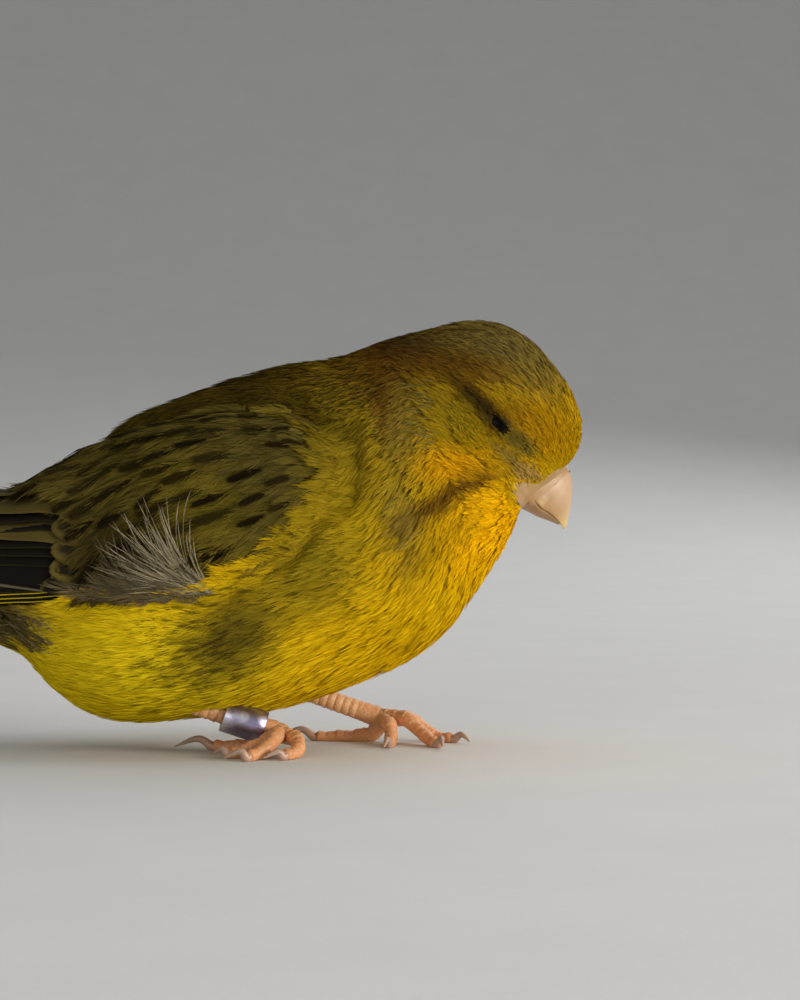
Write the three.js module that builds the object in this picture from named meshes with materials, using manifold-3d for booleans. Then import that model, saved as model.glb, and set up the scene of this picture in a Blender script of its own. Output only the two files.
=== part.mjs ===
// A canary standing low on both feet with its head bowed, life size, in millimetres.
// +Z is up, the bird faces +X and its right side is towards -Y. The floor is z = 0.
import * as THREE from "three";
import { mergeVertices } from "three/addons/utils/BufferGeometryUtils.js";
import Module from "manifold-3d";

const wasm = await Module();
wasm.setup();

// Driving sizes of the whole bird
const GAP = 0.3;
const FLOOR = 0;
const ROUND = 28;
const EYE_PLACE = { x: 51.4, z: 35.9, sunk: 2.1 };
const EYE_RADIUS = 2.25;
const LID = 0.42;
const HEAD_MIDDLE = new THREE.Vector3(49.6, 0, 35.2);
const BILL_BASE = new THREE.Vector3(56.4, 0, 29.1);
const BILL_PITCH = -48;
const BILL_DEPTH = 6.9;
const BILL_WIDTH = 6.2;
const TAIL_START = -6;
const TAIL_LENGTH = 54;
const TAIL_DROOP = 7;
const WING_FRONT = 34;
const WING_TIP = -38.5;

// The body is a smooth union of these rounded forms: middle, half sizes and tilt in degrees.
// Forms with a side offset stand on both sides.
const BODY_FORMS = {
  torso: { x: 22, z: 21.7, along: 22.7, high: 17.8, wide: 15.4, tilt: 5 },
  breast: { x: 34.2, z: 25, along: 15.2, high: 16.4, wide: 14.6, tilt: 30 },
  belly: { x: 10.5, z: 16.2, along: 11.5, high: 12.8, wide: 13.2, tilt: -3 },
  flank: { x: 16, z: 14, side: 6.5, along: 15, high: 8.2, wide: 8.4, tilt: 3 },
  rump: { x: 0, z: 18.8, along: 9.4, high: 7.4, wide: 6.8, tilt: 10 },
  mantle: { x: 28.6, z: 32.3, along: 14, high: 9.7, wide: 10.8, tilt: 12 },
  neck: { x: 41, z: 33.3, along: 10.9, high: 12.5, wide: 10, tilt: -20 },
  skull: { x: 49.2, z: 37.5, along: 9, high: 10, wide: 9, tilt: 0 },
  brow: { x: 53.6, z: 35.5, along: 6.7, high: 6.1, wide: 6.3, tilt: 0 },
  cheek: { x: 46, z: 31.5, side: 4.8, along: 7.2, high: 6.2, wide: 4.6, tilt: -30 },
  throat: { x: 46, z: 25.8, along: 6.2, high: 6.6, wide: 6.4, tilt: -20 },
};
const BODY_BLEND = 1.6;
const WING_REST = { deep: 2.3, rim: 3, above: 1.2, clear: 0.95, back: 7 };
const WING_WRAPS = [
  { x: -1, z: 19.4, along: 22, high: 8.2, wide: 10.6, tilt: 14 },
  { x: -14, z: 17.4, along: 30, high: 4.6, wide: 5.6, tilt: 3 },
];
const WRAP_BLEND = 1.5;

const RIGHT = -1;
const LEFT = 1;

function direction(degrees) {
  const angle = THREE.MathUtils.degToRad(degrees);
  return new THREE.Vector3(Math.cos(angle), 0, Math.sin(angle));
}

// A signed distance to one rounded form, close to true near its surface
function formDistance(point, form) {
  const tilt = THREE.MathUtils.degToRad(form.tilt);
  const dx = point.x - form.x;
  const dz = point.z - form.z;
  const dy = Math.abs(point.y) - (form.side ?? 0);
  const u = dx * Math.cos(tilt) + dz * Math.sin(tilt);
  const v = -dx * Math.sin(tilt) + dz * Math.cos(tilt);
  const near = Math.hypot(u / form.along, v / form.high, dy / form.wide) + 1e-9;
  const slope = Math.hypot(u / form.along ** 2, v / form.high ** 2, dy / form.wide ** 2) + 1e-9;
  return (near * (near - 1)) / slope;
}

function smoothUnion(distances, blend) {
  const least = Math.min(...distances);
  const sum = distances.reduce((total, value) => total + Math.exp((least - value) / blend), 0);
  return least - blend * Math.log(sum);
}

function coatDistance(point) {
  return smoothUnion(Object.values(BODY_FORMS).map((form) => formDistance(point, form)), BODY_BLEND);
}

// Named heights along the folded wing: how high its middle line lies over the floor
const WING_LINE = new THREE.SplineCurve([
  new THREE.Vector2(38, 26.5), new THREE.Vector2(28, 25), new THREE.Vector2(14, 22.5),
  new THREE.Vector2(2, 20), new THREE.Vector2(-10, 18.2), new THREE.Vector2(-24, 16.8),
  new THREE.Vector2(-42, 15.8),
]);
const WING_LINE_POINTS = WING_LINE.getPoints(80);

function wingLineHeight(x) {
  const points = WING_LINE_POINTS;
  for (let i = 0; i + 1 < points.length; i++) {
    if (points[i].x >= x && points[i + 1].x <= x) {
      const part = (points[i].x - x) / (points[i].x - points[i + 1].x);
      return THREE.MathUtils.lerp(points[i].y, points[i + 1].y, part);
    }
  }
  return x > points[0].x ? points[0].y : points[points.length - 1].y;
}

// Turns of the wing's lower and upper edge at named lengths
const LOWER_EDGE = [[34, 8], [27, -12], [20, -22], [2, -20], [-12, -7], [-30, 6], [-39, 14]];
const UPPER_EDGE = [[34, 32], [27, 50], [20, 60], [2, 82], [-12, 86], [-24, 72], [-39, 34]];

function between(table, x) {
  for (let i = 0; i + 1 < table.length; i++) {
    const [from, first] = table[i];
    const [to, last] = table[i + 1];
    if (x <= from && x >= to) {
      return THREE.MathUtils.lerp(first, last, THREE.MathUtils.smoothstep(from - x, 0, from - to));
    }
  }
  return x > table[0][0] ? table[0][1] : table[table.length - 1][1];
}

// How far a point lies under a folded wing, from 0 outside its outline to 1
function underWing(point) {
  const height = point.z - wingLineHeight(point.x);
  const across = Math.abs(point.y);
  const out = Math.hypot(height, across);
  const turn = THREE.MathUtils.radToDeg(Math.atan2(height, across));
  const perDegree = out * THREE.MathUtils.degToRad(1);
  const aboveLow = (turn - between(LOWER_EDGE, point.x)) * perDegree;
  const belowTop = (between(UPPER_EDGE, point.x) - turn) * perDegree + WING_REST.above;
  const behindFront = WING_FRONT - point.x;
  const aheadOfBack = (point.x - WING_REST.back) / 2;
  const inside = (distance) => THREE.MathUtils.smoothstep(distance, -WING_REST.rim, 0.2);
  return inside(aboveLow) * inside(belowTop) * inside(behindFront) * inside(aheadOfBack);
}

// The body with the shallow rests in which the folded wings lie flush
function bodyDistance(point) {
  const coat = coatDistance(point);
  if (coat < -2 * WING_REST.deep) return coat;
  return coat + WING_REST.deep * underWing(point);
}

// The surface on which the underside of a folded wing lies
function wingDistance(point) {
  const body = bodyDistance(point) - WING_REST.clear;
  return smoothUnion([body, ...WING_WRAPS.map((form) => formDistance(point, form))], WRAP_BLEND);
}

// Where a ray from inside a form leaves it
function reach(distance, origin, ray, far = 60) {
  let inside = 0;
  let outside = 0;
  const step = 0.8;
  const probe = new THREE.Vector3();
  while (outside < far) {
    outside += step;
    if (distance(probe.copy(origin).addScaledVector(ray, outside)) > 0) break;
    inside = outside;
  }
  for (let i = 0; i < 24; i++) {
    const middle = (inside + outside) / 2;
    if (distance(probe.copy(origin).addScaledVector(ray, middle)) > 0) outside = middle;
    else inside = middle;
  }
  return inside;
}

// A closed mesh through rings of points; an end ring may be a single point
function loft(rings) {
  const positions = [];
  const indices = [];
  const starts = [];
  for (const ring of rings) {
    starts.push(positions.length / 3);
    for (const point of ring) positions.push(point.x, point.y, point.z);
  }
  for (let i = 0; i + 1 < rings.length; i++) {
    const count = Math.max(rings[i].length, rings[i + 1].length);
    for (let j = 0; j < count; j++) {
      const next = (j + 1) % count;
      const a = starts[i] + (rings[i].length === 1 ? 0 : j);
      const b = starts[i] + (rings[i].length === 1 ? 0 : next);
      const c = starts[i + 1] + (rings[i + 1].length === 1 ? 0 : j);
      const d = starts[i + 1] + (rings[i + 1].length === 1 ? 0 : next);
      if (a !== b) indices.push(a, b, d);
      if (c !== d) indices.push(a, d, c);
    }
  }
  for (const end of [0, rings.length - 1]) {
    const ring = rings[end];
    if (ring.length === 1) continue;
    const middle = positions.length / 3;
    const centre = ring.reduce((sum, point) => sum.add(point), new THREE.Vector3());
    centre.divideScalar(ring.length);
    positions.push(centre.x, centre.y, centre.z);
    for (let j = 0; j < ring.length; j++) {
      const a = starts[end] + j;
      const b = starts[end] + ((j + 1) % ring.length);
      if (end === 0) indices.push(middle, b, a);
      else indices.push(middle, a, b);
    }
  }
  return closedGeometry(positions, indices);
}

// A closed slab between two grids of points that share their outline's order
function slab(top, bottom) {
  const rows = top.length;
  const columns = top[0].length;
  const positions = [];
  const indices = [];
  for (const grid of [top, bottom]) {
    for (const row of grid) for (const point of row) positions.push(point.x, point.y, point.z);
  }
  const at = (layer, i, j) => layer * rows * columns + i * columns + j;
  for (let i = 0; i + 1 < rows; i++) {
    for (let j = 0; j + 1 < columns; j++) {
      indices.push(at(0, i, j), at(0, i + 1, j), at(0, i + 1, j + 1));
      indices.push(at(0, i, j), at(0, i + 1, j + 1), at(0, i, j + 1));
      indices.push(at(1, i, j), at(1, i + 1, j + 1), at(1, i + 1, j));
      indices.push(at(1, i, j), at(1, i, j + 1), at(1, i + 1, j + 1));
    }
  }
  const border = [];
  for (let i = 0; i + 1 < rows; i++) border.push([i, 0, i + 1, 0]);
  for (let j = 0; j + 1 < columns; j++) border.push([rows - 1, j, rows - 1, j + 1]);
  for (let i = rows - 1; i > 0; i--) border.push([i, columns - 1, i - 1, columns - 1]);
  for (let j = columns - 1; j > 0; j--) border.push([0, j, 0, j - 1]);
  for (const [i, j, k, l] of border) {
    indices.push(at(0, i, j), at(1, i, j), at(1, k, l));
    indices.push(at(0, i, j), at(1, k, l), at(0, k, l));
  }
  return closedGeometry(positions, indices);
}

function signedVolume(positions, indices) {
  const a = new THREE.Vector3();
  const b = new THREE.Vector3();
  const c = new THREE.Vector3();
  let volume = 0;
  for (let i = 0; i < indices.length; i += 3) {
    a.fromArray(positions, indices[i] * 3);
    b.fromArray(positions, indices[i + 1] * 3);
    c.fromArray(positions, indices[i + 2] * 3);
    volume += a.dot(b.cross(c)) / 6;
  }
  return volume;
}

function closedGeometry(positions, indices) {
  if (signedVolume(positions, indices) < 0) {
    for (let i = 0; i < indices.length; i += 3) {
      [indices[i + 1], indices[i + 2]] = [indices[i + 2], indices[i + 1]];
    }
  }
  const geometry = new THREE.BufferGeometry();
  geometry.setAttribute("position", new THREE.Float32BufferAttribute(positions, 3));
  geometry.setIndex(indices);
  return geometry;
}

function toSolid(geometry) {
  const bare = geometry.clone();
  bare.deleteAttribute("normal");
  bare.deleteAttribute("uv");
  const merged = mergeVertices(bare, 1e-4);
  return new wasm.Manifold(new wasm.Mesh({
    numProp: 3,
    vertProperties: Float32Array.from(merged.attributes.position.array),
    triVerts: Uint32Array.from(merged.index.array),
  }));
}

// The largest closed surface of a solid, as a geometry
function fromSolid(solid) {
  const pieces = solid.decompose();
  pieces.sort((a, b) => b.volume() - a.volume());
  const mesh = pieces[0].getMesh();
  const geometry = new THREE.BufferGeometry();
  geometry.setAttribute("position", new THREE.BufferAttribute(mesh.vertProperties, 3));
  geometry.setIndex(new THREE.BufferAttribute(mesh.triVerts, 1));
  return geometry;
}

function joined(geometries) {
  return geometries.map(toSolid).reduce((sum, solid) => sum.add(solid));
}

function ball(centre, radius, around, rings) {
  const geometry = new THREE.SphereGeometry(radius, around, rings);
  geometry.rotateX(Math.PI / 2);
  return geometry.translate(centre.x, centre.y, centre.z);
}

function mirrored(geometry) {
  const copy = geometry.clone().scale(1, -1, 1);
  return closedGeometry(Array.from(copy.attributes.position.array), Array.from(copy.index.array));
}

// Body rings: each lies in a plane that leans with the bird's axis
const NECK_BACK = { top: new THREE.Vector3(33, 0, 43.8), low: new THREE.Vector3(44.5, 0, 11.8) };
const NECK_FRONT = { top: new THREE.Vector3(39.8, 0, 46.2), low: new THREE.Vector3(51, 0, 22) };
const TAIL_PLANE = { top: new THREE.Vector3(-6.4, 0, 25), low: new THREE.Vector3(-5.6, 0, 13) };

function leaningPlane(from, to, part) {
  const top = from.top.clone().lerp(to.top, part);
  const low = from.low.clone().lerp(to.low, part);
  const up = top.clone().sub(low).normalize();
  const forward = new THREE.Vector3(up.z, 0, -up.x);
  return { middle: top.add(low).multiplyScalar(0.5), up, forward };
}

function bodyRing(plane, distance, shift = 0) {
  const origin = plane.middle.clone().addScaledVector(plane.forward, shift);
  const ring = [];
  for (let j = 0; j < ROUND; j++) {
    const angle = (2 * Math.PI * (j + 0.5)) / ROUND;
    const ray = plane.up.clone().multiplyScalar(Math.cos(angle));
    ray.y = -Math.sin(angle);
    ring.push(origin.clone().addScaledVector(ray, reach(distance, origin, ray)));
  }
  return ring;
}

function bodyLength(from, to, count, distance) {
  const rings = [];
  for (let i = 0; i <= count; i++) {
    const shift = i === 0 ? GAP / 2 : i === count ? -GAP / 2 : 0;
    rings.push(bodyRing(leaningPlane(from, to, i / count), distance, shift));
  }
  return loft(rings);
}

// The bill's own directions: ahead along it, and up across it
const BILL_AHEAD = direction(BILL_PITCH);
const BILL_UP = direction(BILL_PITCH + 90);

function onBill(ahead, up, side) {
  return BILL_BASE.clone()
    .addScaledVector(BILL_AHEAD, ahead)
    .addScaledVector(BILL_UP, up)
    .setY(side);
}

function headShape() {
  const back = bodyRing(leaningPlane(NECK_FRONT, NECK_FRONT, 0), coatDistance, GAP / 2);
  const face = back.map((_, j) => {
    const angle = (2 * Math.PI * (j + 0.5)) / ROUND;
    const up = (BILL_DEPTH / 2 + 0.25) * Math.cos(angle);
    return onBill(-GAP / 2, up, -(BILL_WIDTH / 2 + 0.25) * Math.sin(angle));
  });
  const rows = 13;
  const rings = [back];
  for (let i = 1; i < rows; i++) {
    rings.push(back.map((point, j) => {
      const first = point.clone().sub(HEAD_MIDDLE).normalize();
      const last = face[j].clone().sub(HEAD_MIDDLE).normalize();
      const turn = first.angleTo(last);
      const part = i / rows;
      const ray = first.multiplyScalar(Math.sin((1 - part) * turn))
        .addScaledVector(last, Math.sin(part * turn))
        .normalize();
      return HEAD_MIDDLE.clone().addScaledVector(ray, reach(coatDistance, HEAD_MIDDLE, ray));
    }));
  }
  rings.push(face);
  return loft(rings);
}

// The middle of an eye, set into the side of the head
function eyeMiddle(side) {
  const origin = new THREE.Vector3(EYE_PLACE.x, 0, EYE_PLACE.z);
  const out = reach(coatDistance, origin, new THREE.Vector3(0, side, 0));
  return origin.setY(side * (out - EYE_PLACE.sunk));
}

// The almond opening between the lids, as a short prism along the eye's look
function lidOpening(side) {
  const along = direction(-38);
  const across = direction(52);
  const centre = eyeMiddle(side);
  const outline = (offset) => {
    const ring = [];
    const steps = 12;
    for (let j = 0; j < steps; j++) {
      const angle = (2 * Math.PI * j) / steps;
      const half = 1.55 * Math.cos(angle);
      const lift = 0.95 * Math.sin(angle) * Math.sqrt(Math.abs(Math.sin(angle)));
      ring.push(centre.clone().addScaledVector(along, half).addScaledVector(across, lift)
        .add(new THREE.Vector3(0, side * offset, 0)));
    }
    return ring;
  };
  return loft([outline(0.6), outline(4)]);
}

// The line of the mouth where it runs from the bill back into the face
function mouthCorner(side) {
  const thin = 0.14;
  const ends = [[0.5, CUTTING_EDGE - 0.5], [-1.5, CUTTING_EDGE - 1.2]];
  const rings = ends.map(([ahead, up]) => [[-thin, 2], [-thin, 6], [thin, 6], [thin, 2]]
    .map(([rise, out]) => onBill(ahead, up + rise, side * out)));
  return loft(rings);
}

function head() {
  let solid = toSolid(headShape());
  for (const side of [RIGHT, LEFT]) {
    solid = solid.add(toSolid(ball(eyeMiddle(side), EYE_RADIUS + GAP + LID, 14, 9)));
  }
  for (const side of [RIGHT, LEFT]) {
    solid = solid.subtract(toSolid(ball(eyeMiddle(side), EYE_RADIUS + GAP, 14, 9)));
    solid = solid.subtract(toSolid(lidOpening(side)));
    solid = solid.subtract(toSolid(mouthCorner(side)));
  }
  return fromSolid(solid);
}

// Bill profile: how far up the ridge and the cutting edge lie at each length, and the half width
const RIDGE = new THREE.SplineCurve([
  new THREE.Vector2(0, 3.45), new THREE.Vector2(1.8, 2.6), new THREE.Vector2(3.4, 0.95),
  new THREE.Vector2(4.5, -0.6), new THREE.Vector2(5, -1.3),
]);
const UPPER_LENGTH = 5;
const LOWER_LENGTH = 4.2;
const CUTTING_EDGE = -1.35;
const PEAK_NARROWING = 0.25;
const NOSTRIL = { ahead: 0.75, up: 1.1, out: 2.75, radius: 0.5 };

function billSection(ahead, top, low, half, peak) {
  const ring = [];
  const count = 14;
  for (let j = 0; j < count; j++) {
    const angle = (2 * Math.PI * j) / count;
    const up = Math.cos(angle);
    const side = Math.sin(angle);
    const narrow = up * peak > 0 ? 1 - PEAK_NARROWING * Math.abs(up) : 1;
    ring.push(onBill(ahead, (top + low) / 2 + up * (top - low) / 2, -side * half * narrow));
  }
  return ring;
}

function upperBill() {
  const rings = [];
  const rows = 7;
  for (let i = 0; i <= rows; i++) {
    const part = i / rows;
    const ridge = RIDGE.getPointAt(part);
    const ahead = GAP / 2 + ridge.x * (1 - GAP / UPPER_LENGTH);
    const edge = CUTTING_EDGE - 0.5 * (1 - part) + 0.15;
    const low = Math.min(edge, ridge.y - 0.25);
    const half = (BILL_WIDTH / 2) * Math.pow(1 - part, 0.75) + 0.12;
    rings.push(billSection(ahead, ridge.y, low, half, 1));
  }
  let solid = toSolid(loft(rings));
  for (const side of [RIGHT, LEFT]) {
    const place = onBill(NOSTRIL.ahead, NOSTRIL.up, side * NOSTRIL.out);
    solid = solid.subtract(toSolid(ball(place, NOSTRIL.radius, 7, 5)));
  }
  return fromSolid(solid);
}

function lowerBill() {
  const rings = [];
  const rows = 5;
  for (let i = 0; i <= rows; i++) {
    const part = i / rows;
    const ahead = GAP / 2 + part * LOWER_LENGTH;
    const top = CUTTING_EDGE - 0.5 * (1 - part) + 0.15 - GAP;
    const low = THREE.MathUtils.lerp(-BILL_DEPTH / 2, top - 0.35, Math.pow(part, 1.2));
    const half = (BILL_WIDTH / 2 - 0.3) * Math.pow(1 - part, 0.7) + 0.2;
    rings.push(billSection(ahead, top, low, half, -1));
  }
  return loft(rings);
}

// A point on the right wing: x along the bird, turn in degrees up from level, lift off the body
function onWing(x, turn, lift) {
  const origin = new THREE.Vector3(x, 0, wingLineHeight(x));
  const angle = THREE.MathUtils.degToRad(turn);
  const ray = new THREE.Vector3(0, -Math.cos(angle), Math.sin(angle));
  const out = reach(wingDistance, origin, ray) + lift;
  const point = origin.addScaledVector(ray, out);
  point.y = Math.min(point.y, -GAP / 2 - 0.1);
  return point;
}

// How far the wing's outer surface lies off its underside
function wingDepth(x, turn) {
  const back = THREE.MathUtils.clamp((WING_FRONT - x) / (WING_FRONT - WING_TIP), 0, 1);
  const front = THREE.MathUtils.smoothstep(WING_FRONT - x, -2, 8);
  const arm = THREE.MathUtils.smoothstep(x, -6, 8);
  const toEdge = Math.min(turn - between(LOWER_EDGE, x), between(UPPER_EDGE, x) - turn);
  const edge = THREE.MathUtils.lerp(0.35, 1, THREE.MathUtils.smoothstep(toEdge, -6, 18));
  const full = THREE.MathUtils.lerp(3.1, 1.3, Math.pow(back, 0.7));
  return full * THREE.MathUtils.lerp(0.55, 1, front) * THREE.MathUtils.lerp(1, edge, arm);
}

// The arm and hand of the wing under its feathers
function wingCore() {
  const rows = 9;
  const columns = 4;
  const end = -2;
  const top = [];
  const bottom = [];
  for (let i = 0; i <= rows; i++) {
    const x = THREE.MathUtils.lerp(WING_FRONT, end, i / rows);
    const low = between(LOWER_EDGE, x) + 2;
    const high = between(UPPER_EDGE, x) - 4;
    const topRow = [];
    const bottomRow = [];
    for (let j = 0; j <= columns; j++) {
      const part = j / columns;
      const edge = Math.min(1, 0.55 + 2.5 * Math.min(part, 1 - part));
      const turn = THREE.MathUtils.lerp(low, high, part);
      topRow.push(onWing(x, turn, Math.max(0.6, (wingDepth(x, turn) - 0.95) * edge)));
      bottomRow.push(onWing(x, turn, 0));
    }
    top.push(topRow);
    bottom.push(bottomRow);
  }
  return slab(top, bottom);
}

// The outline of a feather: half width at each part of its length, as a share of its widest
function coverOutline(part) {
  return 0.62 + 0.38 * Math.sin(Math.PI * Math.min(1, part * 0.75 + 0.1)) - 0.75 * Math.pow(part, 6);
}

function flightOutline(part) {
  return 0.45 + 0.55 * Math.sin(Math.PI * Math.min(0.5, part * 0.9)) - 0.8 * Math.pow(part, 9);
}

const VANE_FLOOR = 0.4;
const VANE_LEAST = 0.5;

// A feather on the folded wing. Its lower edge lies out over its neighbour, its upper edge
// is tucked under the next one, and its tip stands off more than its root.
function wingFeather({ from, to, half, sink, slope, thick, rows, outline }) {
  const top = [];
  const bottom = [];
  for (let i = 0; i <= rows; i++) {
    const part = i / rows;
    const x = THREE.MathUtils.lerp(from.x, to.x, part);
    const turn = THREE.MathUtils.lerp(from.turn, to.turn, part);
    const halfHere = half * outline(part);
    const radius = onWing(x, turn, 0).y;
    const reachOut = Math.max(2.5, Math.hypot(radius, onWing(x, turn, 0).z - wingLineHeight(x)));
    const topRow = [];
    const bottomRow = [];
    for (const side of [-1, 1]) {
      const turnHere = turn + THREE.MathUtils.radToDeg((side * halfHere) / reachOut);
      const lift = wingDepth(x, turnHere) - sink * (1 - part) - slope * halfHere * (side + 1);
      const depth = thick * (1 - 0.4 * part);
      topRow.push(onWing(x, turnHere, Math.max(lift, VANE_FLOOR + VANE_LEAST)));
      bottomRow.push(onWing(x, turnHere, Math.max(lift - depth, VANE_FLOOR)));
    }
    top.push(topRow);
    bottom.push(bottomRow);
  }
  return slab(top, bottom);
}

// Rows of feathers: count, then where the first (lowest) and last (highest) root and tip lie
const WING_ROWS = {
  primaries: {
    count: 8, roots: [[8, -17], [10, -6]], tips: [[-37, 16], [-21, 42]], bulge: -1.6,
    half: 1.75, sink: 0.7, slope: 0.3, thick: 1, rows: 5, outline: flightOutline,
  },
  secondaries: {
    count: 5, roots: [[11, -4], [13, 22]], tips: [[-20, 42], [-16, 58]],
    half: 1.9, sink: 0.6, slope: 0.3, thick: 1, rows: 4, outline: flightOutline,
  },
  tertials: {
    count: 3, roots: [[14, 30], [16, 52]], tips: [[-14, 62], [-4, 74]],
    half: 2.5, sink: 0.5, slope: 0.22, thick: 1, rows: 4, outline: coverOutline,
  },
  primary_coverts: {
    count: 3, roots: [[13, -19], [14, -12]], tips: [[-1, -16], [1.5, -9]],
    half: 1.2, sink: 0.5, slope: 0.25, thick: 0.65, rows: 3, outline: coverOutline,
  },
  greater_coverts: {
    count: 5, roots: [[17, -11], [17.5, 46]], tips: [[5, -8], [3, 48]],
    half: 2.3, sink: 0.45, slope: 0.2, thick: 1, rows: 3, outline: coverOutline,
  },
  median_coverts: {
    count: 5, roots: [[23, -9], [22, 44]], tips: [[13.5, -11], [11.5, 46]],
    half: 2.5, sink: 0.35, slope: 0.16, thick: 1, rows: 3, outline: coverOutline,
  },
  lesser_coverts: {
    count: 4, roots: [[28, 0], [28, 42]], tips: [[20, -7], [19, 46]],
    half: 2.9, sink: 0.3, slope: 0.14, thick: 1, rows: 3, outline: coverOutline,
  },
  shoulder_coverts: {
    count: 3, roots: [[32.4, 13], [32, 32]], tips: [[26, 1], [25.5, 42]],
    half: 3, sink: 0.2, slope: 0.12, thick: 0.7, rows: 3, outline: coverOutline,
  },
  scapulars: {
    count: 3, roots: [[29, 42], [21, 53]], tips: [[19, 52], [6, 66]],
    half: 2.4, sink: 0.25, slope: 0.12, thick: 1, rows: 3, outline: coverOutline,
  },
};

function wing() {
  let solid = toSolid(wingCore());
  for (const row of Object.values(WING_ROWS)) {
    for (let i = 0; i < row.count; i++) {
      const part = row.count === 1 ? 0 : i / (row.count - 1);
      const at = (ends) => ({
        x: THREE.MathUtils.lerp(ends[0][0], ends[1][0], part),
        turn: THREE.MathUtils.lerp(ends[0][1], ends[1][1], part),
      });
      const tip = at(row.tips);
      tip.x += (row.bulge ?? 0) * Math.sin(Math.PI * Math.min(1, part * 1.6));
      solid = solid.add(toSolid(wingFeather({ ...row, from: at(row.roots), to: tip })));
    }
  }
  return fromSolid(solid);
}

// The tail: a root, twelve long feathers that lie under the middle pair, and their coverts
const TAIL_ROOT = new THREE.Vector3(TAIL_START - GAP, 0, 18.2);
const TAIL_BACK = direction(180 + TAIL_DROOP);
const TAIL_UP = direction(90 + TAIL_DROOP);

function onTail(length, across, up) {
  return TAIL_ROOT.clone().addScaledVector(TAIL_BACK, length)
    .addScaledVector(TAIL_UP, up).setY(across);
}

// How high and wide half of the root is at each length behind the body
const TAIL_ROOT_STATIONS = [
  { length: 4, high: 4.6, wide: 4.8 },
  { length: 8, high: 3.1, wide: 4 },
  { length: 12, high: 1.9, wide: 3.2 },
  { length: 16, high: 1.2, wide: 2.4 },
];

function tailRoot() {
  const first = bodyRing(leaningPlane(TAIL_PLANE, TAIL_PLANE, 0), bodyDistance, -GAP / 2);
  const rings = TAIL_ROOT_STATIONS.map(({ length, high, wide }) => first.map((_, j) => {
    const angle = (2 * Math.PI * (j + 0.5)) / ROUND;
    return onTail(length, -wide * Math.sin(angle), high * Math.cos(angle));
  }));
  return loft([first, ...rings]);
}

function tailFeather({ start, end, across, fan, half, up, drop, thick, rows, outline }) {
  const top = [];
  const bottom = [];
  for (let i = 0; i <= rows; i++) {
    const part = i / rows;
    const halfHere = half * outline(part);
    const middle = across + fan * part;
    const topRow = [];
    const bottomRow = [];
    for (const side of [-1, 1]) {
      const point = middle + side * halfHere;
      const height = up + drop * part - 0.07 * Math.abs(point);
      const length = THREE.MathUtils.lerp(start, end, part);
      topRow.push(onTail(length, point, height));
      bottomRow.push(onTail(length, point, height - thick * (1 - 0.4 * part)));
    }
    top.push(topRow);
    bottom.push(bottomRow);
  }
  return slab(top, bottom);
}

function tail() {
  const pieces = [tailRoot()];
  const pairs = 6;
  for (let pair = 0; pair < pairs; pair++) {
    for (const side of [RIGHT, LEFT]) {
      pieces.push(tailFeather({
        start: 6,
        end: TAIL_LENGTH - 3 + 0.6 * pair - (pair === pairs - 1 ? 0.7 : 0),
        across: side * (0.5 + 0.4 * pair),
        fan: side * (0.6 + 0.62 * pair),
        half: 2.5,
        up: 1.05 - 0.3 * pair - (side === LEFT ? 0.1 : 0),
        drop: -0.5,
        thick: 0.6,
        rows: 4,
        outline: flightOutline,
      }));
    }
  }
  for (const [above, count, reachBack] of [[1, 4, 17], [-1, 4, 24]]) {
    for (let i = 0; i < count; i++) {
      const place = i - (count - 1) / 2;
      pieces.push(tailFeather({
        start: 3,
        end: reachBack - 1.6 * Math.abs(place),
        across: 1.8 * place,
        fan: 0.3 * place,
        half: 2,
        up: above * (4.1 - 0.35 * Math.abs(place)) + (above > 0 ? 0 : 0.7),
        drop: above * -2.2,
        thick: 0.8,
        rows: 4,
        outline: coverOutline,
      }));
    }
  }
  return fromSolid(joined(pieces));
}

// A tube of changing width along a smooth path, flat where it meets the floor. Scutes are
// plates across its upper side, each raised at its far edge over the next one.
function limb(points, radii, { rows, round, scutes = 0, raise = 0, flatness = 1 }) {
  const curve = new THREE.CatmullRomCurve3(points);
  const stations = [];
  if (scutes === 0) for (let i = 0; i <= rows; i++) stations.push([i / rows, 0]);
  for (let i = 0; i < scutes; i++) {
    stations.push([i / scutes, 0]);
    stations.push([(i + 0.88) / scutes, raise]);
  }
  if (scutes > 0) stations.push([1, 0]);
  const rings = stations.map(([part, raised]) => {
    const middle = curve.getPointAt(part);
    const ahead = curve.getTangentAt(part);
    const side = new THREE.Vector3().crossVectors(ahead, new THREE.Vector3(0, 0, 1)).normalize();
    const up = new THREE.Vector3().crossVectors(side, ahead).normalize();
    const ring = [];
    for (let j = 0; j < round; j++) {
      const angle = (2 * Math.PI * (j + 0.5)) / round;
      const radius = radii(part) + (Math.sin(angle) > 0 ? raised : 0);
      const point = middle.clone().addScaledVector(side, radius * Math.cos(angle));
      point.addScaledVector(up, radius * flatness * Math.sin(angle));
      point.z = Math.max(point.z, FLOOR);
      ring.push(point);
    }
    return ring;
  });
  return loft(rings);
}

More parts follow.
